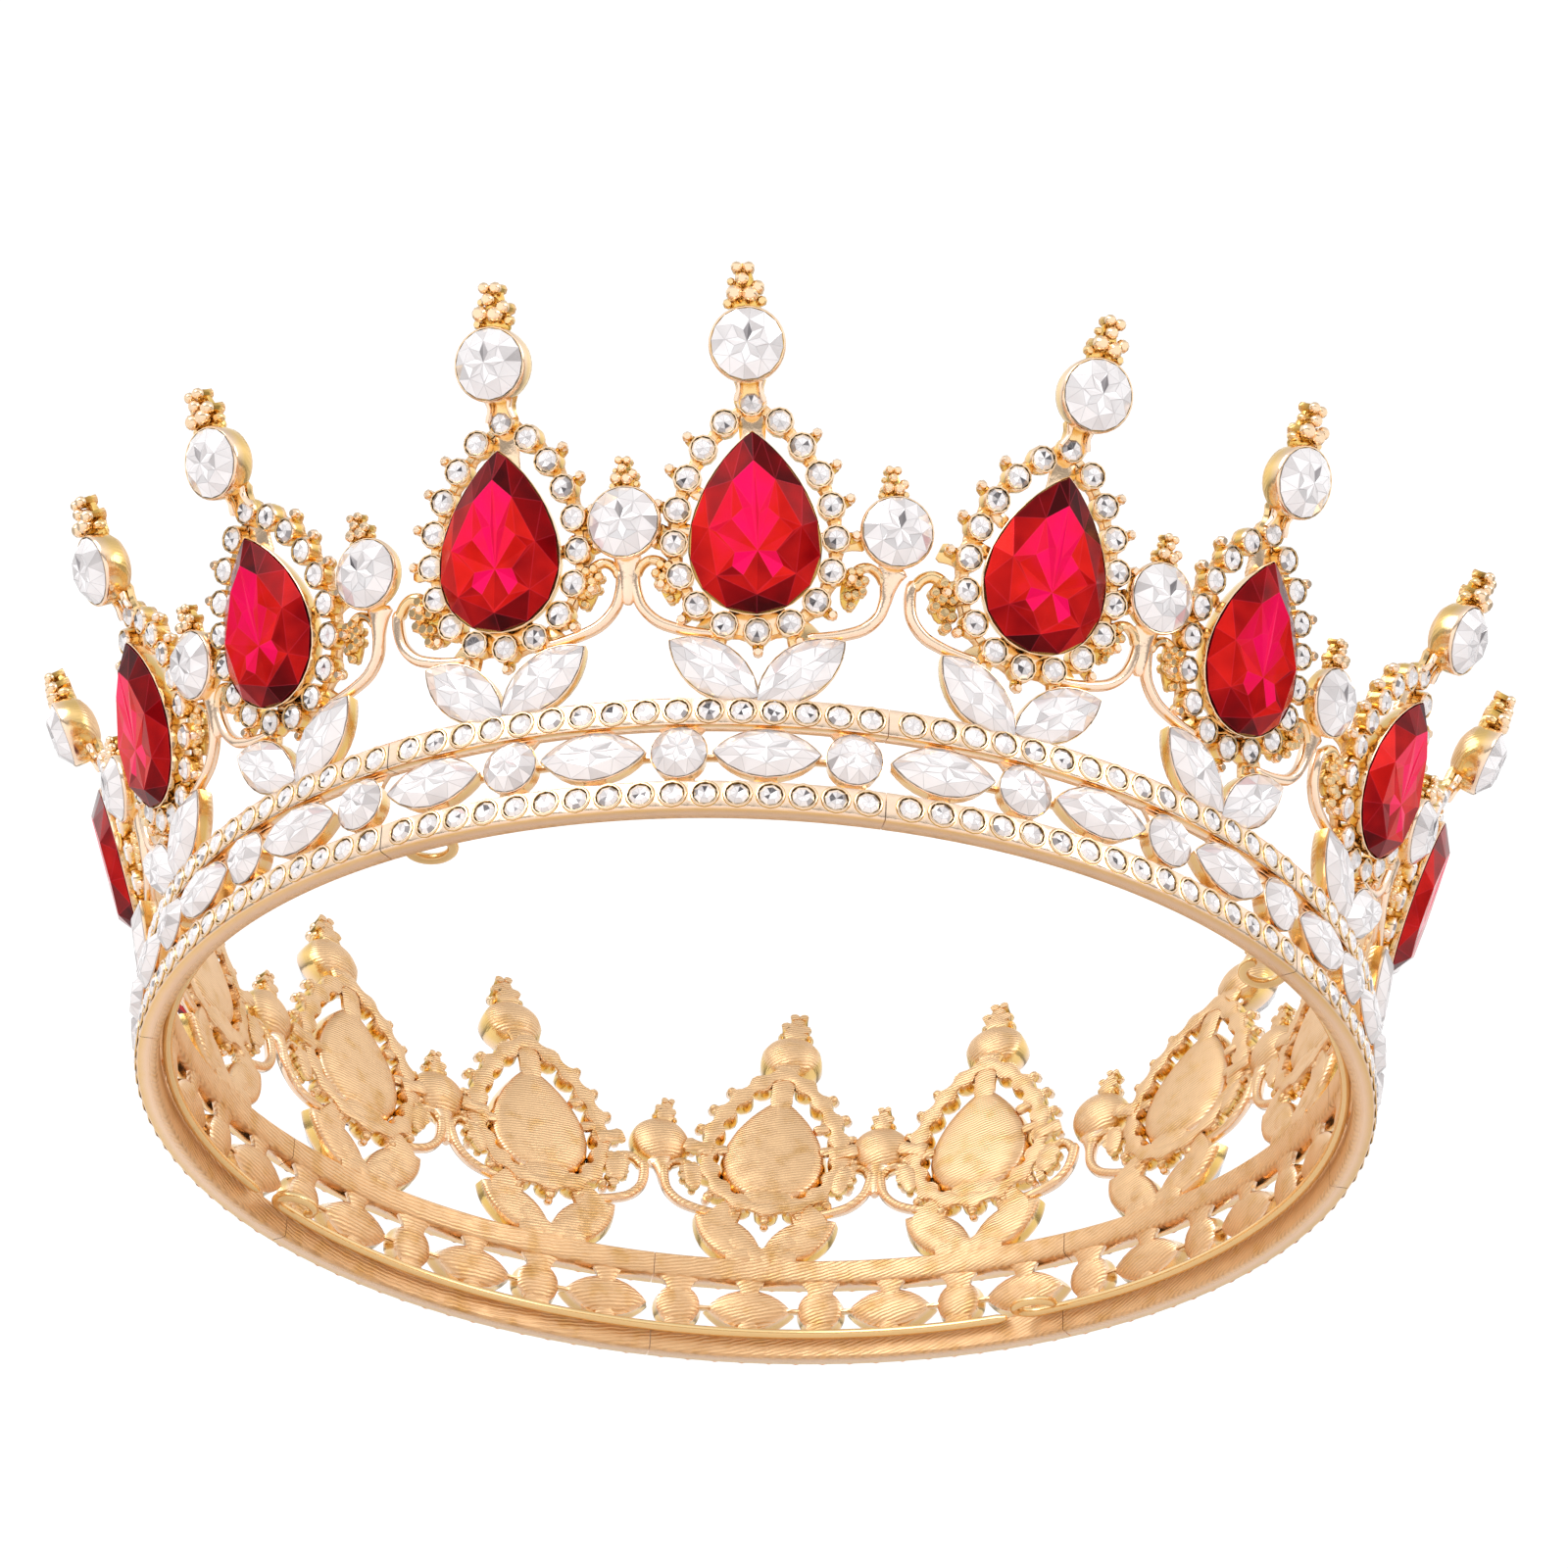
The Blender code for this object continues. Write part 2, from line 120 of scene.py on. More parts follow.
def addFaces(shape, points, faces, hollowShade=0.0, satin=0.0, facetLight=0.0):
    flat = points.reshape(-1, 3)
    if faces.shape[1] == 3:
        faces = np.hstack([faces, np.full((len(faces), 1), -1)])
    shape["points"].append(flat)
    shape["faces"].append(np.where(faces >= 0, faces + shape["count"], -1))
    shape["hollowShade"].append(np.broadcast_to(hollowShade, len(flat)))
    shape["satin"].append(np.broadcast_to(satin, len(flat)))
    shape["facetLight"].append(np.broadcast_to(facetLight, len(faces)))
    shape["count"] += len(flat)


def addGrid(shape, local, place, loop=False, ends=(True, True), hollowShade=0.0, satin=(0.75, 0.35), keep=None):
    # rows by columns of points: neighbours make quads round each row and from row to row, loop joins the last
    # row to the first, and an open end closes on its middle; satin is the height that the satin back goes up
    # to, and the height over which it fades; keep picks the quads
    # the shade given for each row or point is painted shade: deeper yellow in recesses, red-brown at their
    # bottoms
    rows, columns = local.shape[:2]
    index = np.arange(rows * columns).reshape(rows, columns)
    if loop:
        index = np.vstack([index, index[:1]])
    index = np.hstack([index, index[:, :1]])
    quads = np.stack([index[:-1, :-1], index[:-1, 1:], index[1:, 1:], index[1:, :-1]], -1)
    points = local.reshape(-1, 3)
    byRow = np.reshape(hollowShade, (-1, 1)) if np.ndim(hollowShade) == 1 else hollowShade
    hollowShades = np.broadcast_to(byRow, (rows, columns)).reshape(-1)
    faces = [quads.reshape(-1, 4) if keep is None else quads[keep]]
    for closed, row, sign in ((ends[0], 0, -1), (ends[1], rows - 1, 1)):
        if loop or not closed:
            continue
        middle = len(points)
        points = np.vstack([points, local[row].mean(0)])
        hollowShades = np.append(hollowShades, hollowShades[row * columns])
        fan = np.stack([index[row, :-1], index[row, 1:], np.full(columns, middle)][::sign], -1)
        faces.append(np.hstack([fan, np.full((columns, 1), -1)]))
    satins = np.clip((satin[0] - points[:, 2]) / satin[1], 0.0, 1.0)
    addFaces(shape, place(points), np.vstack(faces), hollowShades, satins)


def addFacets(shape, points, triangles, unmarked, facetLight, place):
    # flat triangles for stones: each corner carries its height over the side opposite, so that the least of
    # the three anywhere inside is the distance to the nearest side; the side opposite the unmarked corner is
    # left out
    corners = points[triangles]
    sides = np.roll(corners, -2, 1) - np.roll(corners, -1, 1)
    area = np.linalg.norm(np.cross(sides[:, 0], sides[:, 1]), axis=1)
    heights = area[:, None] / np.maximum(np.linalg.norm(sides, axis=2), 1e-6)
    inset = np.eye(3)[None] * heights[:, None]
    for corner in range(3):
        inset[unmarked == corner, :, corner] = 9.0
    shape["inset"].append(inset.reshape(-1, 3))
    addFaces(shape, place(points), triangles, facetLight=facetLight)


def toMesh(name, shape, sharp=None):
    mesh = bpy.data.meshes.new(name)
    points = np.concatenate(shape["points"]) * metres
    faces = np.concatenate(shape["faces"])
    used = faces >= 0
    sizes = used.sum(1)
    mesh.vertices.add(len(points))
    mesh.vertices.foreach_set("co", points.astype(np.float32).ravel())
    mesh.loops.add(int(sizes.sum()))
    mesh.loops.foreach_set("vertex_index", faces[used].astype(np.int32))
    mesh.polygons.add(len(faces))
    mesh.polygons.foreach_set("loop_start", (np.cumsum(sizes) - sizes).astype(np.int32))
    mesh.update(calc_edges=True)
    # of these, the first is painted shade on the gold and the last is the painted light of each stone facet
    for key, domain in (("hollowShade", "POINT"), ("satin", "POINT"), ("facetLight", "FACE")):
        values = np.concatenate(shape[key]).astype(np.float32)
        if values.any():
            mesh.attributes.new(key, "FLOAT", domain).data.foreach_set("value", values)
    if shape["inset"]:
        insets = np.concatenate(shape["inset"]).astype(np.float32)
        mesh.attributes.new("inset", "FLOAT_VECTOR", "CORNER").data.foreach_set("vector", insets.ravel())
    work = bmesh.new()
    work.from_mesh(mesh)
    if sharp is not None:
        bmesh.ops.remove_doubles(work, verts=work.verts, dist=0.0000005)
    bmesh.ops.recalc_face_normals(work, faces=work.faces)
    work.to_mesh(mesh)
    work.free()
    if sharp is None:
        mesh.shade_flat()
    else:
        mesh.shade_smooth()
        mesh.set_sharp_from_angle(angle=math.radians(sharp))
    return mesh


def addPiece(name, mesh, material, slot, *nodes):
    piece = bpy.data.objects.new(name, mesh)
    bpy.context.scene.collection.objects.link(piece)
    mesh.materials.clear()
    mesh.materials.append(material)
    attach(piece, "root")
    if nodes:
        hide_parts(*nodes)
    return piece


def turned(mesh, k):
    # the first segment's middle stands a quarter of a segment back from the front
    copy = mesh.copy()
    copy.transform(Matrix.Rotation((k - 0.25) * segmentAngle, 4, "Z"))
    return copy


# Outlines, each starting at its top and going round clockwise by an angle t; a round one is sine and cosine


def edge(stone, t, grow=0.0):
    s, c = np.sin(t), np.cos(t)
    if stone["cut"] == "round":
        radius = stone["size"] / 2 + grow
        return np.stack([radius * s, radius * c], -1)
    if stone["cut"] == "navette":  # two equal arcs: x is what the arc's radius leaves at each height
        half, rise = stone["length"] / 2 + 1.5 * grow, stone["width"] / 2 + grow
        arc = (half * half + rise * rise) / (2 * rise)
        y = half * c
        return np.stack([np.sign(s) * (np.sqrt(arc * arc - y * y) - arc + rise) * (abs(s) > 1e-9), y], -1)
    # a drop: x is sine of t times a power of the sine of half of it
    fine = np.linspace(0.01, 3.13, 300)
    fullest = (np.sin(fine) * np.sin(fine / 2) ** stone["shoulder"]).max()
    low, high = stone["low"] - grow, stone["high"] + 1.4 * grow
    reach = (stone["width"] / 2 + grow) / fullest
    x = reach * s * np.abs(np.sin(t / 2)) ** stone["shoulder"]
    return np.stack([x, (high + low) / 2 + (high - low) / 2 * c], -1)


def around(count):
    return np.linspace(0.0, 2 * math.pi, count, endpoint=False)


# Shapes that the casting is made of


def addLoft(shape, stone, rows, place, count, satin=(0.75, 0.35)):
    # each row is (scale, grow, height, painted shade): the grown outline, drawn in towards its middle, at a
    # height
    outlines = []
    for scale, grow, height, hollowShade in rows:
        outline = edge(stone, around(count), grow)
        middle = outline.mean(0)
        outline = middle + (outline - middle) * scale
        outlines.append(np.hstack([outline, np.full((count, 1), height)]))
    addGrid(shape, np.array(outlines), place, hollowShade=np.array([row[3] for row in rows]), satin=satin)


def addTurned(shape, x, y, profile, place, sides=12):
    # a profile of (radius, height, painted shade) spun about (x, y), which adds radius times sine and
    # cosine to them
    t = around(sides)
    r, z, hollowShade = np.array(profile, float).T[:, :, None]
    local = np.stack([x + r * np.sin(t), y + r * np.cos(t), z + 0 * t], -1)
    addGrid(shape, local, place, hollowShade=hollowShade[:, 0])


def addBead(shape, x, y, z, radius, place, sides=8, rings=4, depth=1.0, hollowShade=0.0):
    # a ball as rings whose radius is the sine of the latitude angle
    # the shade it takes is painted shade over the whole ball
    v = np.linspace(0.0, math.pi, rings + 2)[1:-1, None]
    t = around(sides)[None, :]
    wide, level = radius * np.sin(v), z - radius * depth * np.cos(v)
    local = np.stack([x + wide * np.sin(t), y + wide * np.cos(t), level + 0 * t], -1)
    addGrid(shape, local, place, hollowShade=hollowShade)


def through(knots, steps):
    # a smooth line through the knots: a cubic between each two keeps the slope of their neighbours
    knots = np.array(knots, float)
    padded = np.vstack([2 * knots[0] - knots[1], knots, 2 * knots[-1] - knots[-2]])
    u = np.linspace(0.0, len(knots) - 1.0, steps)
    k = np.minimum(u.astype(int), len(knots) - 2)
    f = (u - k)[:, None]
    a, b, c, d = (padded[k + j] for j in range(4))
    return 0.5 * (2 * b + (c - a) * f + (2 * a - 5 * b + 4 * c - d) * f**2 + (3 * b - a - 3 * c + d) * f**3)


def addStrap(shape, knots, place, steps=14, sides=10, square=1.0, hollowShade=0.0):
    # knots are (x, y, z, width, depth): a rounded section carried along the line, its width across the line
    # and its depth out of the face; square below 1 makes the section boxier
    # the shade it takes is painted shade over the whole strap, or one value for each step along it
    line = through(knots, steps)
    run = np.gradient(line[:, :2], axis=0)
    run /= np.linalg.norm(run, axis=1, keepdims=True)
    t = around(sides) + math.pi / sides
    across = np.sign(np.sin(t)) * np.abs(np.sin(t)) ** square
    outwards = np.sign(np.cos(t)) * np.abs(np.cos(t)) ** square
    taper = np.ones(steps)
    taper[[0, -1]] = 0.7
    half = line[:, 3:4] / 2 * taper[:, None]
    x = line[:, 0:1] - run[:, 1:2] * half * across
    y = line[:, 1:2] + run[:, 0:1] * half * across
    z = line[:, 2:3] + line[:, 4:5] / 2 * outwards * taper[:, None]
    addGrid(shape, np.stack([x, y, z], -1), place, hollowShade=hollowShade)


def sided(knots, along, hand, up):
    # knots mirrored by the hand, then moved along and up
    return [(along + hand * x, up + y, z, wide, depth) for x, y, z, wide, depth in knots]


# Stones

pearCut = {"cut": "pear", "width": 14.8, "low": -9.405, "high": 11.495, "shoulder": 0.7}
peakCut = {"cut": "round", "size": 8.2}
valleyCut = {"cut": "round", "size": 8.0}
leafCut = {"cut": "navette", "length": 12.0, "width": 6.0}
rowLongCut = {"cut": "navette", "length": 12.0, "width": 6.0}
rowRoundCut = {"cut": "round", "size": 6.3}


def addCutStone(shape, stone, look, place):
    # girdle points at even steps of t, a table at every second one, and inside the table a star of kites
    # round one point, each facet a little off flat; each facet's painted light, from dark to bright, comes
    # from the look's lists
    n = look["sectors"]
    t = around(2 * n)
    girdle = edge(stone, t)
    heart = np.array(look["heart"], float)
    reach = {key: np.resize(look[key], n)[:, None] for key in ("tip", "notch")}
    table = heart + (edge(stone, t[::2]) - heart) * look["table"]
    tip = heart + (edge(stone, t[::2]) - heart) * look["table"] * reach["tip"]
    notch = heart + (edge(stone, t[1::2]) - heart) * look["table"] * reach["notch"]
    low, high, top, relief = *look["girdle"], look["top"], look["relief"]

    def level(flat, z):
        return np.hstack([flat, np.full((len(flat), 1), z)])

    points = np.vstack([
        level(girdle, low),
        level(girdle, high),
        level(table, top),
        level(tip, top + relief * 0.5),
        level(notch, top - relief * 0.6),
        [[*heart, top + relief]],
        [[*heart, low - look["back"]]],
    ])
    k = np.arange(n)
    every = np.arange(2 * n)
    upper = 2 * n + every
    tableAt, tipAt, notchAt = 4 * n + k, 5 * n + k, 6 * n + k
    heartAt, culetAt = np.full(n, 7 * n), np.full(2 * n, 7 * n + 1)
    crown, kites, rim = (np.resize(look[key], n) for key in ("crown", "kites", "rim"))
    following = np.roll(every, -1)
    # corners of each kind of facet, its unmarked corner or -1, and its painted light
    kinds = [
        ((heartAt, np.roll(notchAt, 1), tipAt), 1, kites),
        ((heartAt, tipAt, notchAt), 2, kites),
        ((tableAt, np.roll(tableAt, -1), notchAt), -1, rim),
        ((tableAt, notchAt, tipAt), -1, rim * 0.8 + 0.1),
        ((np.roll(tipAt, -1), notchAt, np.roll(tableAt, -1)), -1, rim * 0.9),
        ((upper[k * 2 - 1], upper[k * 2], tableAt), -1, crown * 0.9),
        ((upper[k * 2], upper[k * 2 + 1], tableAt), -1, crown),
        ((upper[k * 2 + 1], np.roll(tableAt, -1), tableAt), -1, crown * 0.4 + np.roll(crown, -1) * 0.6),
        ((every, following, upper[following]), 1, np.full(2 * n, look["belt"])),
        ((every, upper[following], upper), 2, np.full(2 * n, look["belt"])),
        ((every, culetAt, following), -1, np.full(2 * n, look["belt"])),
    ]
    triangles = np.vstack([np.stack(corners, -1) for corners, unmarked, facetLight in kinds])
    unmarked = np.concatenate([np.full(len(facetLight), unmarked) for corners, unmarked, facetLight in kinds])
    facetLights = np.concatenate([facetLight for corners, unmarked, facetLight in kinds])
    facetLights = np.clip(facetLights + dice.normal(0.0, look["jitter"], len(facetLights)), 0.02, 1.0)
    addFacets(shape, points, triangles, unmarked, facetLights, place)


# kites, rim, crown and belt give the painted light of those facets, from dark to bright
rubyLook = {
    "sectors": 8,
    "heart": (0.3, -2.6),
    "table": 0.74,
    "tip": (0.94, 0.60, 0.80, 0.66, 0.94, 0.62, 0.84, 0.60),
    "notch": (0.44, 0.66, 0.40, 0.70, 0.62, 0.46, 0.66, 0.52),
    "girdle": (2.55, 3.25),
    "top": 4.95,
    "relief": 0.07,
    "back": 1.2,
    "belt": 0.12,
    "kites": (0.92, 0.86, 0.60, 0.96, 0.44, 0.98, 0.62, 0.94),
    "rim": (0.90, 0.56, 0.40, 0.56, 0.40, 0.58, 0.80, 0.95),
    "crown": (0.08, 0.12, 0.30, 0.44, 0.12, 0.40, 0.56, 0.22),
    "jitter": 0.04,
}
peakLook = {
    "sectors": 8,
    "heart": (0.0, 0.0),
    "table": 0.62,
    "tip": 0.9,
    "notch": (0.5, 0.6, 0.46, 0.56, 0.5, 0.58, 0.44, 0.54),
    "girdle": (3.75, 4.45),
    "top": 5.8,
    "relief": 0.14,
    "back": 1.2,
    "belt": 0.7,
    "kites": (0.34, 0.74, 0.84, 0.70, 1.0, 0.78, 0.86, 0.72),
    "rim": (0.80, 0.86, 0.76, 0.92, 0.84, 0.96, 0.80, 0.88),
    "crown": (0.78, 0.88, 0.74, 0.92, 0.84, 0.96, 0.80, 0.86),
    "jitter": 0.07,
}
valleyLook = {**peakLook, "girdle": (2.55, 3.25), "top": 4.6}
leafLook = {
    **peakLook,
    "table": 0.66,
    "girdle": (2.0, 2.5),
    "top": 3.7,
    "relief": 0.12,
    "back": 0.9,
    "kites": (0.92, 0.98, 1.0, 0.80, 0.96, 1.0, 0.74, 0.96),
    "rim": (0.96, 1.0, 0.92, 0.98, 0.90, 1.0, 0.94, 0.98),
    "crown": (0.80, 1.0, 0.94, 1.0, 0.84, 0.98, 0.92, 1.0),
    "jitter": 0.05,
}
rowLongLook = {**leafLook, "girdle": (2.2, 2.65), "top": 3.8}
rowRoundLook = {
    **peakLook,
    "girdle": (2.2, 2.65),
    "top": 3.9,
    "back": 0.9,
    "kites": leafLook["kites"],
    "rim": leafLook["rim"],
}


def addSmallStone(shape, x, y, radius, low, high, place):
    # eight-sided: a belt, a crown and a star of eight table facets
    t = around(8) + dice.uniform(0.0, 0.7)
    s, c = np.sin(t), np.cos(t)

    def level(r, z):
        return np.stack([x + r * s, y + r * c, np.full(8, z)], -1)

    rings = [level(radius, low - 0.5), level(radius, low), level(radius * 0.62, high)]
    points = np.vstack([*rings, [[x, y, high - 0.12]]])
    k = np.arange(8)
    n = np.roll(k, -1)
    belt = [(k, n, n + 8), (k, n + 8, k + 8), (k + 8, n + 8, n + 16), (k + 8, n + 16, k + 16)]
    corners = [*belt, (k + 16, n + 16, np.full(8, 24))]
    # the belt, crown and star facets get painted light, mostly bright with a few dark ones
    crown = dice.choice([1.0, 0.92, 0.8, 0.4], 8, p=[0.4, 0.3, 0.2, 0.1])
    star = dice.choice([1.0, 0.9, 0.7, 0.15], 8, p=[0.45, 0.3, 0.15, 0.1])
    facetLights = np.concatenate([np.full(16, 0.6), crown, crown, star])
    unmarked = np.repeat([1, 2, 1, 2, -1], 8)
    addFacets(shape, points, np.vstack([np.stack(three, -1) for three in corners]), unmarked, facetLights, place)


# The small stones round each pear

pave = {
    "count": 18,
    "curve": {"cut": "pear", "width": 18.3, "low": -11.2, "high": 15.25, "shoulder": 0.5},
    "stone": 1.38,
    "bezel": 1.7,
    "top": 2.2,
    "floor": 1.5,
    "band": (1.3, 0.7),  # half the width of the bar under the bezels, at its back and its front
    "scallop": 6,  # steps of the band for each stone
    "waist": 0.42,
    "tooth": 2.35,
    "bead": 0.66,
    "bridges": (
        (0.0, 8.6, 0.0, 14.2, 3.6),
        (-5.2, 4.6, -7.0, 5.6, 1.8),
        (-6.3, 0.6, -8.6, 1.2, 1.8),
        (6.4, -0.4, 8.6, -0.6, 1.8),
        (0.0, -7.8, 0.0, -11.0, 7.5),
    ),  # from and to, and width
    "bare": (13.0, -3.0, -11.4),  # teeth: none above this, tipped up above this, longer below this
}


def paveLine(count):
    # equal steps along the curve, from its top
    t = np.linspace(0.0, 2 * math.pi, 2001)
    curve = edge(pave["curve"], t)
    length = np.concatenate([[0.0], np.cumsum(np.linalg.norm(np.diff(curve, axis=0), axis=1))])
    want = length[-1] * np.arange(count) / count
    centres = np.stack([np.interp(want, length, curve[:, 0]), np.interp(want, length, curve[:, 1])], -1)
    run = np.roll(centres, -1, 0) - np.roll(centres, 1, 0)
    away = np.stack([-run[:, 1], run[:, 0]], -1)
    return centres, away / np.linalg.norm(away, axis=1, keepdims=True)


# Rims: a row of round holes in a bar

rim = {
    "stones": 16,
    "pitch": 3.65,
    "first": 2.74,  # from the left end
    "stone": 1.3,
    "collar": 1.7,
    "wall": 1.42,
    "front": 2.62,
    "face": 2.8,
    "floor": 1.85,
    "round": 0.35,
    "line": 0.5,  # how strong the painted shade line is along the front's edges
}


def rimHoles():
    # equal steps from the segment's left end
    left = -segmentArc / 2 + ring["seamGap"] / 2
    return left + rim["first"] + rim["pitch"] * np.arange(rim["stones"])


def addRim(shape, low, slope):
    # each hole is rings that pass from a circle to a rectangle; the rest of the bar is one rounded section
    # carried round from end to end, with its corners on the rectangles' corners; slope lifts the underside's
    # inner edge
    half, tall = rim["pitch"] / 2, ring["rimHeight"] / 2 - rim["round"]
    middle = low + ring["rimHeight"] / 2
    side = np.linspace(-1.0, 1.0, 5)
    upper = np.stack([side[:-1], np.ones(4)], -1)
    square = np.vstack([upper, upper[:, ::-1] * [1, -1], -upper, upper[:, ::-1] * [-1, 1]])
    t = np.arctan2(square[:, 0], square[:, 1])
    circle = np.stack([np.sin(t), np.cos(t)], -1)
    # each hole's row is (outline, depth, shade); the shade is painted shade, a thin line round the collar and
    # deepest down the hole
    rows = [
        (square * [half, tall], rim["front"], 0.0),
        (circle * (rim["collar"] + 0.06), rim["front"] + 0.01, 0.0),
        (circle * rim["collar"], rim["front"] + 0.02, 1.2),
        (circle * (rim["collar"] - 0.06), rim["face"] - 0.02, 0.05),
        (circle * (rim["collar"] - 0.12), rim["face"] + 0.03, 0.0),
        (circle * rim["wall"], rim["face"] + 0.03, 0.3),
        (circle * (rim["wall"] - 0.08), rim["face"] - 0.25, 0.75),
        (circle * (rim["wall"] - 0.1), rim["floor"], 1.0),
    ]
    for x in rimHoles():
        local = np.array([np.hstack([flat + [x, middle], np.full((16, 1), z)]) for flat, z, hollowShade in rows])
        addGrid(shape, local, bend, ends=(False, True), hollowShade=np.array([row[2] for row in rows]))
    end = segmentArc / 2 - ring["seamGap"] / 2
    across = np.concatenate([[-end, end], *(x + half * side for x in rimHoles())])
    across = np.unique(np.round(across, 6))
    r = rim["round"]
    turn = np.linspace(0.0, math.pi / 2, 3)
    top, depth = ring["rimHeight"], rim["front"]
    section = np.vstack([
        np.stack([tall * side + middle - low, 0 * side + depth], -1),
        np.stack([top - r + r * np.sin(turn), depth - r + r * np.cos(turn)], -1)[1:],
        [[top, 1.3], [top, 0.25], [top - 0.25, 0.0], [top * 0.75, 0.0], [top * 0.5, 0.0]],
        [[0.25 + slope, 0.0], [slope * 0.9, 0.25], [slope * 0.5, 1.3]],
        np.stack([r - r * np.cos(turn), depth - r + r * np.sin(turn)], -1)[:-1],
    ])
    count = len(section)
    local = np.zeros((len(across), count, 3))
    local[..., 0] = across[:, None]
    local[..., 1] = low + section[None, :, 0]
    local[..., 2] = section[None, :, 1]
    # the front's own faces between the ends are the holes' plates, so only the margins keep them
    keep = np.ones((len(across) - 1, count), bool)
    keep[1:-1, :4] = False
    # painted shade, a thin line along the front's rounded edges
    line = (np.abs(local[..., 2] - (depth - r)) < 0.01) * rim["line"]
    addGrid(shape, local, bend, hollowShade=line, satin=(0.6, 0.3), keep=keep)


# The row between the rims

row = {
    "navettes": 3,
    "overlap": 0.7,
    "margin": 0.4,
    "post": ((1.4, 1.6), (2.6, 1.5), (3.5, 2.0), (4.6, 2.9)),  # up from the middle, share of the width
    "link": ((-1.4, 0.8, 1.3), (0.0, 0.7, 1.2), (1.4, 0.8, 1.3)),  # along, width, depth
    "linkShift": 1.4,  # towards the round cup
}


def rowPlaces():
    # equal steps from the first long cup to the last round one, each half a cup in from the segment's end
    room = segmentArc - row["margin"]
    longCup, roundCup = rowLongCut["length"] + row["overlap"], rowRoundCut["size"] + row["overlap"]
    first, last = -room / 2 + longCup / 2, room / 2 - roundCup / 2
    count = 2 * row["navettes"]
    return first + (last - first) * np.arange(count) / (count - 1)


# A cup's rows from its back to inside its lip: (scale, grow, height, painted shade)
cupRows = {
    "row": [
        (0.25, -0.3, 0.0, 0.0), (0.6, -0.3, 0.1, 0.0), (0.85, -0.25, 0.3, 0.0), (1, -0.2, 0.65, 0.1),
        (1, -0.1, 1.4, 0.5), (1, 0.05, 2.1, 0.5), (1, 0.14, 2.4, 0.2), (1, 0.14, 2.55, 0.0),
        (1, 0.06, 2.58, 0.2), (1, 0.02, 2.3, 0.9),
    ],
    "leaf": [
        (0.3, -0.2, 0.12, 0.0), (0.7, -0.15, 0.15, 0.0), (0.92, -0.1, 0.28, 0.0), (1, -0.05, 0.6, 0.2),
        (1, 0.05, 1.3, 0.7), (1, 0.16, 2.0, 0.6), (1, 0.16, 2.3, 0.2), (1, 0.14, 2.4, 0.0),
        (1, 0.06, 2.42, 0.2), (1, 0.02, 2.1, 0.9),
    ],
    "pear": [
        (0.3, -0.5, -0.15, 0.0), (0.6, -0.5, -0.06, 0.0), (0.82, -0.5, 0.1, 0.0), (0.95, -0.5, 0.36, 0.0),
        (1, -0.5, 0.75, 0.1), (1, -0.15, 1.6, 0.6), (1, 0.05, 2.3, 0.7), (1, 0.16, 2.85, 0.3),
        (1, 0.18, 3.05, 0.0), (1, 0.1, 3.12, 0.4), (1, 0.02, 2.8, 1.0),
    ],
    "peak": [
        (0.25, -0.9, -0.25, 0.0), (0.55, -0.9, -0.1, 0.0), (0.8, -0.8, 0.25, 0.0), (1, -0.5, 0.85, 0.2),
        (1, 0.05, 1.6, 0.7), (1, 0.28, 2.8, 0.6), (1, 0.32, 3.9, 0.2), (1, 0.28, 4.25, 0.0),
        (1, 0.16, 4.4, 0.1), (1, 0.05, 4.38, 0.4), (1, 0.02, 3.9, 1.0),
    ],
    "valley": [
        (0.25, -0.9, -0.2, 0.0), (0.55, -0.9, -0.05, 0.0), (0.8, -0.8, 0.25, 0.0), (1, -0.5, 0.75, 0.2),
        (1, 0.0, 1.4, 0.7), (1, 0.22, 2.2, 0.6), (1, 0.28, 2.8, 0.2), (1, 0.24, 3.05, 0.0),
        (1, 0.14, 3.18, 0.1), (1, 0.05, 3.16, 0.4), (1, 0.02, 2.7, 1.0),
    ],
}


def addRow(shape):
    # long and round cups by turns, each on a post above and one below, with a link between each two
    places = rowPlaces()
    middle = bandHeight / 2
    for k, x in enumerate(places):
        cut = rowRoundCut if k % 2 else rowLongCut
        place = seat(x, middle, 0.0, 0.0 if k % 2 else math.pi / 2)
        addLoft(shape, cut, cupRows["row"], place, 24)
        wide = 2.4 if k % 2 else 1.8
        for hand in (-1, 1):
            post = [(x, middle + hand * y, 0.75, wide * s, 1.1) for y, s in row["post"]]
            addStrap(shape, post, bend, 8, 8, 0.6, 0.0)
    for k, (a, b) in enumerate(zip(places[:-1], places[1:])):
        between = (a + b) / 2 + (-row["linkShift"] if k % 2 else row["linkShift"])
        link = [(between + x, middle, 1.15, wide, depth) for x, wide, depth in row["link"]]
        addStrap(shape, link, bend, 6, 8, 0.8, 0.3)


# A peak: ring of small settings round a pear, crystal above, leaves below

finial = {
    "low": 0.3,
    "plate": (
        (-0.8, 3.5, 1.3), (1.0, 3.5, 1.3), (2.4, 2.9, 1.2), (3.6, 2.1, 1.1), (4.8, 1.8, 0.9),
        (5.3, 1.2, 0.7),
    ),  # up, width, depth
    "rods": (
        (-1.15, 1.7, 0.95, 1.0), (0.6, 1.5, 0.95, 1.0), (1.5, 2.3, 0.8, 0.9), (-0.2, 3.3, 0.75, 0.95),
        (-0.75, 4.7, 0.66, 0.85), (0.6, 4.6, 0.7, 0.8),
    ),  # along, up, radius, share of the depth
    "side": ((-1.95, 0.7, 0.65), (1.9, 0.8, 0.65), (-1.5, 3.2, 0.5)),
}


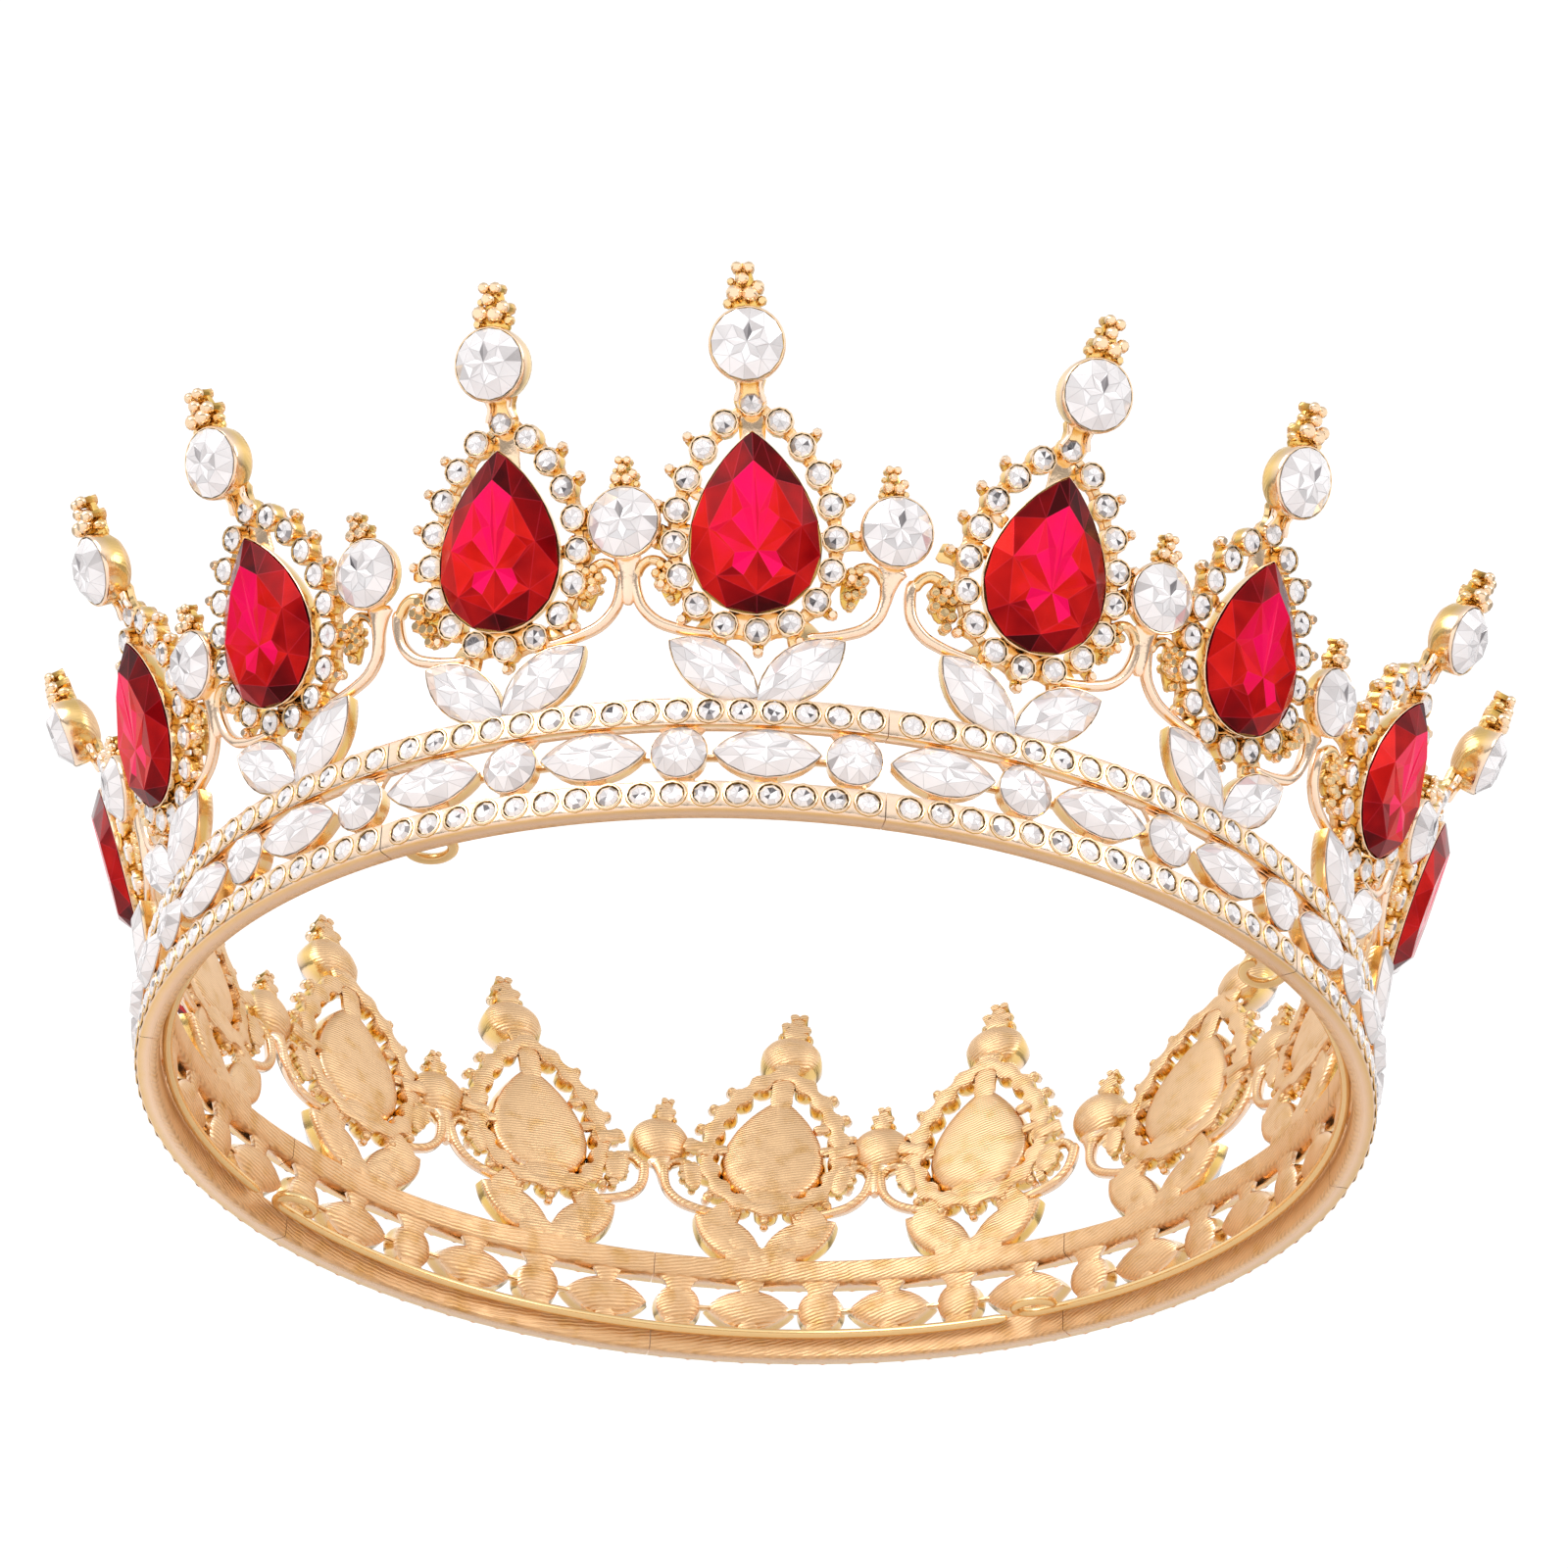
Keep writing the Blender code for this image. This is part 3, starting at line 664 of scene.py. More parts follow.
def addFinial(shape, along, up, out, size, depth):
    # rods that stand out of the face, each with a ball on its front, on a plate that narrows to its top
    place = seat(along, up, out)
    plate = [(0.0, y * size, 0.9, wide * size, thick) for y, wide, thick in finial["plate"]]
    addStrap(shape, plate, place, 12, 10, 0.6, 0.7)
    for x, y, radius, share in finial["rods"]:
        x, y, radius, front = x * size, y * size, radius * size, depth * share
        # the rods carry painted shade, deepest just under their balls
        foot, waist = (radius * 0.95, finial["low"], 0.4), (radius * 0.78, front * 0.45, 0.9)
        addTurned(shape, x, y, [foot, waist, (radius * 0.75, front - radius * 0.5, 1.0)], place, 8)
        addBead(shape, x, y, front, radius * 1.05, place, 10, 5, 1.0, 0.2)
    for x, y, radius in finial["side"]:
        addBead(shape, x * size, y * size, depth * 0.55, radius * size, place, 8, 4, 1.3, 0.45)


# A peak's straps as knots (x, up, out, width, depth), up from the pear's middle; the last two, from the band
peak = {
    "neck": ((0.0, 14.6, 0.85, 4.6, 1.3), (0.0, 16.9, 0.85, 3.2, 1.3), (0.0, 19.0, 0.9, 4.6, 1.4)),
    "post": ((1.7, 15.5, 1.7, 0.8, 0.9), (1.2, 17.0, 1.9, 0.65, 0.9), (1.6, 18.6, 2.2, 0.9, 1.0)),
    "leafBand": (
        (4.4, -9.8, 0.6, 2.8, 1.1), (5.6, -12.0, 0.6, 4.4, 1.1), (6.6, -13.8, 0.6, 5.0, 1.0),
        (6.4, -15.4, 0.6, 3.6, 0.9),
    ),
    "cross": ((4.6, 4.2, 0.55, 3.4, 1.0), (2.2, 2.0, 0.55, 3.0, 1.1), (-0.6, -0.4, 0.55, 3.4, 1.1)),
    "foot": ((3.4, 2.2, 0.5, 4.0, 1.0), (2.9, 0.8, 0.5, 4.4, 1.0), (2.6, -0.6, 0.5, 5.0, 1.0)),
    "finial": 4.3,  # above the crystal's middle
}
leaf = {"lean": math.radians(35.0), "turn": math.radians(55.0)}


def leafSeat(along, hand):
    # half a leaf's length from the meeting point, along the lean: its cosine along, its sine up
    half = leafCut["length"] / 2
    up = bandHeight + ring["leafLift"] + half * math.sin(leaf["lean"])
    return seat(along + hand * half * math.cos(leaf["lean"]), up, 0.0, -hand * leaf["turn"])


def addPeak(shape, along):
    # the pear's cup, the ring of small cups on its band with a toothed edge, then crystal, straps and leaves
    place = seat(along, pearUp)
    addLoft(shape, pearCut, cupRows["pear"], place, 40)
    centres, away = paveLine(pave["count"])
    wide, narrow = pave["band"]
    line, normal = paveLine(pave["count"] * pave["scallop"])
    # the band swells behind each stone: its half width times one less a share of the cosine of the step
    step = 2 * math.pi * np.arange(len(line)) / pave["scallop"]
    swell = 1 - pave["waist"] * (1 - np.cos(step)) / 2
    side = [(wide * 0.5, -0.1), (wide, 0.05), (wide, 0.35), (narrow, 0.6), (narrow, 0.95)]
    section = [(-wide, 0.05), (-wide * 0.5, -0.1), *side, (-narrow, 0.95), (-narrow, 0.6), (-wide, 0.35)]
    band = [np.hstack([line + normal * x * swell[:, None], np.full((len(line), 1), z)]) for x, z in section]
    # the band, the bezels and the teeth carry painted shade; the bezels' is deepest down inside the lip, the
    # teeth's near their middle
    addGrid(shape, np.array(band).transpose(1, 0, 2), place, loop=True, hollowShade=0.3)
    outer, inner, top = pave["bezel"], pave["stone"], pave["top"]
    wall = [(outer - 0.12, 0.12, 0.0), (outer, 0.9, 0.7), (outer, 1.7, 0.6), (outer - 0.03, 2.0, 0.1)]
    lip = [(outer - 0.12, top, 0.0), (inner + 0.05, top, 0.45), (inner - 0.02, pave["floor"], 1.1)]
    for (x, y), (dx, dy) in zip(centres, away):
        addTurned(shape, x, y, wall + lip, place, 12)
        bareAbove, liftedAbove, longBelow = pave["bare"]
        if y > bareAbove:
            continue
        dy += 0.16 if y > liftedAbove else -0.05
        size = math.hypot(dx, dy)
        dx, dy = dx / size, dy / size
        reach = pave["tooth"] + (0.5 if y < longBelow else 0.0)
        fin = ((1.2, 1.5, 1.1), (1.9, 1.3, 1.3), (reach + 0.2, 1.1, 1.2))
        fin = [(x + dx * r, y + dy * r, 0.75, wide, depth) for r, wide, depth in fin]
        addStrap(shape, fin, place, 5, 8, 0.7, np.array([0.4, 0.8, 0.95, 0.8, 0.6]))
        addBead(shape, x + dx * reach, y + dy * reach, 1.4, pave["bead"], place, 8, 4, 1.2, 0.1)
    for x1, y1, x2, y2, wide in pave["bridges"]:
        middle = ((x1 + x2) / 2, (y1 + y2) / 2, 0.5, wide * 0.85, 1.0)
        addStrap(shape, [(x1, y1, 0.5, wide, 1.1), middle, (x2, y2, 0.5, wide, 1.1)], place, 5, 8, 0.6, 0.15)

    crystalUp = pearUp + ring["crystalRise"]
    addLoft(shape, peakCut, cupRows["peak"], seat(along, crystalUp), 32, (1.7, 0.35))
    addStrap(shape, sided(peak["neck"], along, 1, pearUp), bend, 6, 10, 0.7, 0.5)
    for hand in (-1, 1):
        addStrap(shape, sided(peak["post"], along, hand, pearUp), bend, 7, 8)
    addFinial(shape, along, crystalUp + peak["finial"], 0.6, 1.0, 2.9)

    for hand in (-1, 1):
        addLoft(shape, leafCut, cupRows["leaf"], leafSeat(along, hand), 28)
        addStrap(shape, sided(peak["leafBand"], along, hand, pearUp), bend, 9, 10, 0.6, 0.4)
        addStrap(shape, sided(peak["cross"], along, hand, bandHeight), bend, 8, 8, 0.6, 0.4)
        addStrap(shape, sided(peak["foot"], along, hand, bandHeight), bend, 6, 8, 0.6, 0.4)


# Scrolls and the small settings in the valleys

scroll = {
    "strap": (
        (0.3, -3.6, 1.5, 1.5), (0.35, -5.6, 1.5, 1.6), (1.1, -8.0, 1.4, 1.5), (2.9, -9.9, 1.4, 1.5),
        (5.3, -10.9, 1.35, 1.45), (7.6, -11.4, 1.25, 1.35), (9.6, -11.6, 1.1, 1.2),
    ),
    "curl": (
        (0.5, -4.6, 1.2, 1.5), (1.2, -3.3, 1.2, 1.5), (2.3, -2.7, 1.2, 1.5), (3.5, -3.1, 1.3, 1.4),
        (4.3, -4.2, 1.3, 1.3),
    ),
    "web": ((3.4, -3.2, 1.8, 1.0), (4.2, -4.8, 2.6, 1.0), (4.6, -6.4, 2.4, 1.0), (4.9, -7.8, 1.4, 1.0)),
    "cluster": (
        (2.9, -4.4, 0.62), (3.5, -3.4, 0.66), (4.4, -3.6, 0.66), (3.7, -4.9, 0.7), (4.7, -4.9, 0.6),
        (3.2, -5.7, 0.62), (4.1, -6.2, 0.7), (4.9, -6.4, 0.6), (4.6, -7.5, 0.58),
    ),
    "bar": ((2.6, 0.6, 2.8, 1.1), (4.6, 0.1, 2.0, 1.0), (6.6, -0.3, 3.0, 1.1)),
}


def addScroll(shape, along, hand, reach, lush):
    # distances are from the valley's line back towards the peak; lush widens the curl and its cluster of nubs
    def placed(key, out, widen=1.0):
        knots = [(reach - x, y, out, wide * widen, depth) for x, y, wide, depth in scroll[key]]
        return sided(knots, along, hand, pearUp)

    addStrap(shape, placed("strap", 1.05), bend, 26, 12)
    addStrap(shape, placed("curl", 1.1, lush), bend, 16, 10, 1.0, 0.3 * lush)
    addStrap(shape, placed("web", 0.65, lush), bend, 10, 8, 0.6, 0.85)
    for x, y, radius in scroll["cluster"]:
        x, y = 2.4 + (x - 2.4) * lush, -3.4 + (y + 3.4) * lush
        place = seat(along + hand * (reach - x), pearUp + y)
        radius = radius * lush
        # each nub carries painted shade, deepest under its ball
        profile = [(radius * 0.95, 0.3, 0.6), (radius * 0.75, 0.9, 1.0), (radius * 0.8, 1.3, 1.0)]
        addTurned(shape, 0.0, 0.0, profile, place, 7)
        addBead(shape, 0.0, 0.0, 1.5, radius, place, 8, 4, 1.0, 0.4)
    addStrap(shape, placed("bar", 0.6), bend, 8, 8, 0.7, 0.5)


# A stem's knots, as (beyond the valley's line, below the crystal's middle, width, depth)
middleStem = ((0.0, -3.4, 3.6, 1.7), (0.0, -5.2, 2.5, 1.7), (0.0, -7.4, 2.1, 1.6), (0.0, -9.3, 1.2, 1.3))
endStem = (
    (1.2, -3.6, 4.2, 1.6), (0.75, -5.0, 2.8, 1.7), (0.35, -6.6, 1.9, 1.6), (-0.05, -8.2, 1.5, 1.5),
    (-1.0, -10.1, 1.1, 1.3), (-2.6, -11.4, 0.8, 1.1),
)


def addValley(shape, along, shift, stem):
    # a small round cup with a finial above, on a stem that runs down between two scrolls
    up = pearUp + ring["valleyRise"]
    addLoft(shape, valleyCut, cupRows["valley"], seat(along + shift, up), 32, (1.5, 0.35))
    addStrap(shape, [(along + x, up + y, 1.2, wide, depth) for x, y, wide, depth in stem], bend, 16, 12)
    addFinial(shape, along + shift, up + 4.0, 0.4, 0.72, 2.3)


# Materials


def addNode(tree, kind, values=None, **settings):
    # each value is a constant for an input, or an output of another node to join to it
    made = tree.nodes.new(kind)
    made.location.x = 200 * len(tree.nodes)
    for key, value in settings.items():
        setattr(made, key, value)
    for key, value in (values or {}).items():
        if isinstance(value, bpy.types.NodeSocket):
            tree.links.new(value, made.inputs[key])
        else:
            made.inputs[key].default_value = value
    return made


def addMath(tree, operation, *values):
    return addNode(tree, "ShaderNodeMath", dict(enumerate(values)), operation=operation).outputs[0]


def addMix(tree, factor, first, second):
    values = {0: factor, 6: first, 7: second}
    return addNode(tree, "ShaderNodeMix", values, data_type="RGBA").outputs[2]


def addRange(tree, value, low, high, toLow=0.0, toHigh=1.0):
    values = {"Value": value, "From Min": low, "From Max": high, "To Min": toLow, "To Max": toHigh}
    return addNode(tree, "ShaderNodeMapRange", values).outputs["Result"]


def newGroup(name, takes, gives):
    # takes is each input's name and value: a number, a colour of four, or three numbers for a vector
    tree = bpy.data.node_groups.new(name, "ShaderNodeTree")
    for socket, value in takes.items():
        kind = {(): "Float", (3,): "Vector", (4,): "Color"}[np.shape(value)]
        made = tree.interface.new_socket(socket, in_out="INPUT", socket_type="NodeSocket" + kind)
        made.default_value = value
    for socket, kind in gives.items():
        tree.interface.new_socket(socket, in_out="OUTPUT", socket_type="NodeSocket" + kind)
    taken = addNode(tree, "NodeGroupInput").outputs
    return tree, taken, addNode(tree, "NodeGroupOutput").inputs


white, grey, black = (1.0, 1.0, 1.0, 1.0), (0.5, 0.5, 0.5, 1.0), (0.0, 0.0, 0.0, 1.0)


def castGrainGroup():
    # fine pits everywhere, and close lines where the surface is satin
    takes = {"Vector": (0.0, 0.0, 0.0), "Grain Scale": 900.0, "Line Scale": 480.0, "Satin": 0.0}
    gives = {"Height": "Float", "Shade": "Float", "Hatch": "Float"}
    tree, taken, given = newGroup("Cast grain", takes, gives)
    fine = {"Vector": taken["Vector"], "Scale": taken["Grain Scale"], "Detail": 3.0, "Roughness": 0.6}
    noise = addNode(tree, "ShaderNodeTexNoise", fine)
    turn = {"Vector": taken["Vector"], "Rotation": (0.35, 0.25, 0.0)}
    slant = addNode(tree, "ShaderNodeMapping", turn)
    waves = {"Vector": slant.outputs["Vector"], "Scale": taken["Line Scale"], "Distortion": 3.5}
    waves |= {"Detail": 3.0, "Detail Scale": 0.8}
    wave = addNode(tree, "ShaderNodeTexWave", waves, bands_direction="Z")
    clouds = {"Vector": taken["Vector"], "Scale": 320.0, "Detail": 3.0}
    broad = addNode(tree, "ShaderNodeTexNoise", clouds).outputs["Fac"]
    lines = addMath(tree, "MULTIPLY", wave.outputs["Fac"], broad)
    satinLines = addMath(tree, "MULTIPLY", lines, taken["Satin"])
    softLines = addMath(tree, "MULTIPLY", satinLines, 0.85)
    pits = addMath(tree, "MULTIPLY", noise.outputs["Fac"], 0.25)
    tree.links.new(addMath(tree, "ADD", pits, softLines), given["Height"])
    tree.links.new(broad, given["Shade"])
    tree.links.new(satinLines, given["Hatch"])
    return tree


def goldTintGroup():
    # pale on open faces; painted shade makes hollows deeper yellow and red-brown at their bottoms; satin
    # faces are stained in patches and darkened along the hatch, painted shade in its grooves
    takes = {"Hollow Shade": 0.0, "Satin": 0.0, "Shade": 0.5, "Hatch": 0.0}
    takes |= dict.fromkeys(("Pale", "Deep", "Dark", "Back", "Stain"), white)
    tree, taken, given = newGroup("Gold tint", takes, {"Color": "Color"})
    noisy = addMath(tree, "MULTIPLY_ADD", taken["Shade"], 0.24, -0.12)
    hollowShade = addMath(tree, "ADD", taken["Hollow Shade"], noisy)
    toDeep = addRange(tree, hollowShade, 0.05, 0.75)
    toDark = addRange(tree, hollowShade, 0.8, 1.15)
    toStain = addRange(tree, taken["Shade"], 0.52, 0.8)
    toHatch = addRange(tree, taken["Hatch"], 0.15, 1.8)
    first = addMix(tree, toDeep, taken["Pale"], taken["Deep"])
    second = addMix(tree, toDark, first, taken["Dark"])
    stained = addMix(tree, toStain, taken["Back"], taken["Stain"])
    hatched = addMix(tree, toHatch, stained, taken["Dark"])
    tree.links.new(addMix(tree, taken["Satin"], second, hatched), given["Color"])
    return tree


def facetTintGroup():
    # a facet's painted light picks between four colours, with a faint cloud in each facet and a painted line
    # along its sides
    takes = {"Vector": (0.0, 0.0, 0.0), "Inset": (1.0, 1.0, 1.0), "Facet Light": 0.5}
    takes |= {"Cloud": 0.1, "Cloud Scale": 300.0, "Line Width": 0.06, "Line Share": 0.5}
    takes |= {"Darkest": black, "Low": black, "Middle": grey, "High": white, "Line": white}
    tree, taken, given = newGroup("Facet tint", takes, {"Color": "Color"})
    clouds = {"Vector": taken["Vector"], "Scale": taken["Cloud Scale"], "Detail": 1.0}
    noise = addNode(tree, "ShaderNodeTexNoise", clouds)
    centred = addMath(tree, "SUBTRACT", noise.outputs["Fac"], 0.5)
    cloud = addMath(tree, "MULTIPLY_ADD", centred, taken["Cloud"], taken["Facet Light"])
    last = taken["Darkest"]
    for k, (name, low, high) in enumerate((("Low", 0.05, 0.3), ("Middle", 0.3, 0.6), ("High", 0.6, 0.98))):
        share = addRange(tree, cloud, low, high)
        last = addMix(tree, share, last, taken[name])
    sides = addNode(tree, "ShaderNodeSeparateXYZ", {0: taken["Inset"]}).outputs
    least = addMath(tree, "MINIMUM", sides["X"], sides["Y"])
    nearest = addMath(tree, "MINIMUM", least, sides["Z"])
    mark = addRange(tree, nearest, 0.0, taken["Line Width"], 1.0, 0.0)
    faint = addMath(tree, "MULTIPLY", mark, taken["Line Share"])
    tree.links.new(addMix(tree, faint, last, taken["Line"]), given["Color"])
    return tree


castGrain, goldTint, facetTint = castGrainGroup(), goldTintGroup(), facetTintGroup()

goldLook = {
    "tint": {
        "Pale": (1.0, 0.76, 0.57, 1.0),
        # Deep and Dark are painted shade: Deep in hollows, Dark at their bottoms and along the satin hatch
        "Deep": (0.88, 0.58, 0.15, 1.0),
        "Dark": (0.22, 0.06, 0.02, 1.0),
        "Back": (0.88, 0.59, 0.33, 1.0),
        "Stain": (0.84, 0.50, 0.17, 1.0),
    },
    "grain": {"Grain Scale": 900.0, "Line Scale": 700.0},
    "roughness": (0.16, 0.43),  # bright, satin
    "bump": 0.00012,
}
wireLook = {
    "tint": {**goldLook["tint"], "Pale": (0.94, 0.68, 0.34, 1.0)},
    "grain": {"Grain Scale": 500.0, "Line Scale": 700.0},
    "roughness": (0.2, 0.43),
    "bump": 0.00004,
}


def newMaterial(name, settings):
    # settings are the same all over the surface, so they stay on the shader's own sockets
    made = bpy.data.materials.new(name)
    made.use_nodes = True
    shader = made.node_tree.nodes["Principled BSDF"]
    for key, value in settings.items():
        shader.inputs[key].default_value = value
    return made, made.node_tree, shader.inputs


def addAttribute(tree, name):
    return addNode(tree, "ShaderNodeAttribute", attribute_name=name).outputs


def goldMaterial(name, look):
    made, tree, shader = newMaterial(name, {"Metallic": 1.0})
    place = addNode(tree, "ShaderNodeTexCoord").outputs["Object"]
    satin = addAttribute(tree, "satin")["Fac"]
    hollowShade = addAttribute(tree, "hollowShade")["Fac"]
    values = {"Vector": place, "Satin": satin, **look["grain"]}
    grain = addNode(tree, "ShaderNodeGroup", values, node_tree=castGrain).outputs
    masks = {"Hollow Shade": hollowShade, "Satin": satin, "Shade": grain["Shade"], "Hatch": grain["Hatch"]}
    tint = addNode(tree, "ShaderNodeGroup", look["tint"] | masks, node_tree=goldTint)
    tree.links.new(tint.outputs["Color"], shader["Base Color"])
    tree.links.new(addRange(tree, satin, 0.0, 1.0, *look["roughness"]), shader["Roughness"])
    bump = addNode(tree, "ShaderNodeBump", {"Distance": look["bump"], "Height": grain["Height"]})
    tree.links.new(bump.outputs["Normal"], shader["Normal"])
    return made


# facet colours are painted light: the ruby's facets from dark to bright red, with bright painted lines along
# their sides
rubyGlass = {
    "facets": {
        "Darkest": (0.05, 0.0, 0.001, 1.0),
        "Low": (0.28, 0.0, 0.002, 1.0),
        "Middle": (0.74, 0.012, 0.008, 1.0),
        "High": (1.0, 0.004, 0.11, 1.0),
        "Line": (1.0, 0.06, 0.12, 1.0),
        "Line Width": 0.1,
        "Line Share": 0.14,
        "Cloud": 0.35,
    },
    "glass": {
        "Metallic": 0.3,
        "Roughness": 0.14,
        "Specular IOR Level": 0.08,
        "Coat Weight": 0.03,
        "Coat Roughness": 0.03,
    },
}
# facet colours are painted light: the clear stones' facets from dark grey to white, with grey painted shade
# lines along their sides
clearGlass = {
    "facets": {
        "Darkest": (0.05, 0.045, 0.05, 1.0),
        "Low": (0.28, 0.26, 0.27, 1.0),
        "Middle": (0.66, 0.62, 0.62, 1.0),
        "High": (1.0, 0.97, 0.98, 1.0),
        "Line": (0.42, 0.40, 0.41, 1.0),
        "Line Width": 0.055,
        "Line Share": 0.6,
        "Cloud": 0.3,
    },
    "glass": {
        "Metallic": 0.35,
        "Roughness": 0.1,
        "Specular IOR Level": 0.5,
        "Coat Weight": 0.25,
        "Coat Roughness": 0.03,
    },
}


def stoneMaterial(name, look):
    made, tree, shader = newMaterial(name, look["glass"])
    values = {
        "Vector": addNode(tree, "ShaderNodeTexCoord").outputs["Object"],
        "Facet Light": addAttribute(tree, "facetLight")["Fac"],
        "Inset": addAttribute(tree, "inset")["Vector"],
    }
    tint = addNode(tree, "ShaderNodeGroup", look["facets"] | values, node_tree=facetTint)
    tree.links.new(tint.outputs["Color"], shader["Base Color"])
    return made


gold = goldMaterial("Gold casting", goldLook)
wireGold = goldMaterial("Gold wire", wireLook)
ruby = stoneMaterial("Ruby stone", rubyGlass)
clear = stoneMaterial("Clear stone", clearGlass)
print("materials made")


# Building a segment and turning it round the ring


def setStone(name, cut, look, place, k, *dress):
    shape = newShape()
    addCutStone(shape, cut, look, place)
    return addPiece(name, turned(toMesh(name, shape), k), *dress)


casting = newShape()
addRim(casting, 0.0, 0.0)
addRim(casting, bandHeight - ring["rimHeight"], 0.5)
addRow(casting)
# how far past the peak's own reach each scroll goes, and how lush its cluster is
scrollReach = {"inner": (-0.45, 1.0), "left": (0.3, 1.25), "right": (0.55, 1.0)}
for side in (-1, 1):
    addPeak(casting, side * peakPlace)
    for hand in (-1, 1):
        reach, lush = scrollReach["inner" if hand == -side else ("right" if side > 0 else "left")]
        addScroll(casting, side * peakPlace, hand, peakPlace + reach, lush)
addValley(casting, 0.0, 0.0, middleStem)
addValley(casting, segmentArc / 2, ring["endShift"], endStem)
castingMesh = toMesh("casting", casting, sharp=42)
print("casting:", len(castingMesh.polygons), "faces")

for k in range(ring["segments"]):
    addPiece(f"casting_{k + 1}", turned(castingMesh, k), gold, "gold_casting", f"segment_{k + 1}")

seatMiss = 0.0
for k in range(ring["segments"]):
    leaves, rowStones, ringPave, rimPave = newShape(), newShape(), newShape(), newShape()
    for j, side in enumerate((-1, 1)):
        number = f"{2 * k + j + 1:02d}"
        along = side * peakPlace
        dress = (k, ruby, "ruby_stone", f"pear_stone_{number}")
        stone = setStone(f"rubyPear_{number}", pearCut, rubyLook, seat(along, pearUp), *dress)
        low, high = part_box(f"pear_stone_{number}")
        own = np.array([v.co for v in stone.data.vertices]).reshape(-1, 3)
        miss = np.abs((own.min(0) + own.max(0)) / 2 - np.array((low + high) / 2))
        seatMiss = max(seatMiss, float(miss.max()))
        place = seat(along, pearUp + ring["crystalRise"], 0.0, dice.uniform(-0.2, 0.2))
        dress = (k, clear, "clear_stone", f"peak_crystal_{number}")
        setStone(f"peakCrystal_{number}", peakCut, peakLook, place, *dress)
        valleyAlong = (0.0, segmentArc / 2 + ring["endShift"])[j]
        place = seat(valleyAlong, pearUp + ring["valleyRise"], 0.0, dice.uniform(-0.3, 0.3))
        dress = (k, clear, "clear_stone", f"valley_crystal_{number}")
        setStone(f"valleyCrystal_{number}", valleyCut, valleyLook, place, *dress)
        for hand in (-1, 1):
            addCutStone(leaves, leafCut, leafLook, leafSeat(along, hand))
        place = seat(along, pearUp)
        for x, y in paveLine(pave["count"])[0]:
            addSmallStone(ringPave, x, y, pave["stone"], 2.0, 2.45, place)
    for i, x in enumerate(rowPlaces()):
        if i % 2:
            place = seat(x, bandHeight / 2, 0.0, dice.uniform(-0.3, 0.3))
            addCutStone(rowStones, rowRoundCut, rowRoundLook, place)
        else:
            addCutStone(rowStones, rowLongCut, rowLongLook, seat(x, bandHeight / 2, 0.0, math.pi / 2))
    for low in (0.0, bandHeight - ring["rimHeight"]):
        for x in rimHoles():
            place = seat(x, low + ring["rimHeight"] / 2)
            addSmallStone(rimPave, 0.0, 0.0, rim["stone"], 2.62, 2.98, place)
    groups = {"leafStones": leaves, "rowStones": rowStones, "ringPave": ringPave, "rimPave": rimPave}
    for name, shape in groups.items():
        addPiece(f"{name}_{k + 1}", turned(toMesh(name, shape), k), clear, "clear_stone")
print("stones set, a ruby's middle is off its node's by", round(seatMiss * 1000, 2), "mm at most")


# Wires, each with an eyelet at its end

wires = {
    "count": 4,
    "radius": 0.65,
    "gap": 0.3,  # to the casting
    "reach": 5.8,  # eyelet, into the ring
    "width": 7.0,  # eyelet, along the ring
    "shift": 2.6,
    "turn": math.radians(285.0),
    "drop": 0.5,  # from the eyelet's start to its end
    "tip": 0.6,  # of the radius, at both ends
}


def wireMesh(k):
    # the run is an arc inside the ring; the eyelet is part of an ellipse, inwards by the cosine of its angle
    # and along by the sine; a circle of the wire's radius is carried along both
    radius = ring["innerRadius"] - wires["gap"] - wires["radius"]
    height = ring["rimHeight"] - wires["radius"]
    start = k * 2 * math.pi / wires["count"] - 0.75 * segmentAngle + wires["shift"] / ring["innerRadius"]
    end = start + 2 * math.pi / wires["count"]
    room = (wires["width"] / 2 + 2 * wires["radius"] + 2 * wires["gap"]) / radius
    a = np.linspace(start + room, end, 90)
    run = np.stack([radius * np.sin(a), -radius * np.cos(a), np.full(len(a), height)], -1)
    middle = radius - wires["reach"] / 2 + wires["radius"]
    t = np.linspace(0.0, wires["turn"], 30)[1:]
    out = middle + (radius - middle) * np.cos(t)
    side = end + (wires["width"] / 2 - wires["radius"]) * np.sin(t) / radius
    drop = wires["drop"] * (1 - np.cos(t)) / 2
    loop = np.stack([out * np.sin(side), -out * np.cos(side), height - drop], -1)
    line = np.vstack([run, loop])
    along = np.gradient(line, axis=0)
    along /= np.linalg.norm(along, axis=1, keepdims=True)
    first = np.cross(along, [0.0, 0.0, 1.0])
    first /= np.linalg.norm(first, axis=1, keepdims=True)
    second = np.cross(first, along)
    thick = np.full(len(line), wires["radius"])
    thick[[0, -1]] *= wires["tip"]
    c, s = np.cos(around(12))[None, :, None], np.sin(around(12))[None, :, None]
    tube = line[:, None] + thick[:, None, None] * (c * first[:, None] + s * second[:, None])
    shape = newShape()
    addGrid(shape, tube, lambda points: points)
    shape["satin"] = [0 * values for values in shape["satin"]]
    return toMesh("wire", shape, sharp=60)


for k in range(wires["count"]):
    addPiece(f"rimWire_{k + 1}", wireMesh(k), wireGold, "gold_wire", f"rim_wire_{k + 1}")
print("wires laid")


# Floor, light and camera

studio = {
    "floorHeight": -0.002,
    "floorReach": 3.0,
    "floor": (0.93, 0.93, 0.93, 1.0),
    "world": 0.85,
    "sky": ((0.0, 0.95), (0.36, 1.15), (0.47, 0.42), (0.53, 0.30), (0.62, 0.95), (0.80, 1.35), (1.0, 0.8)),
    "seen": (1.3, 1.3, 1.3, 1.0),  # what the camera sees past the floor
}

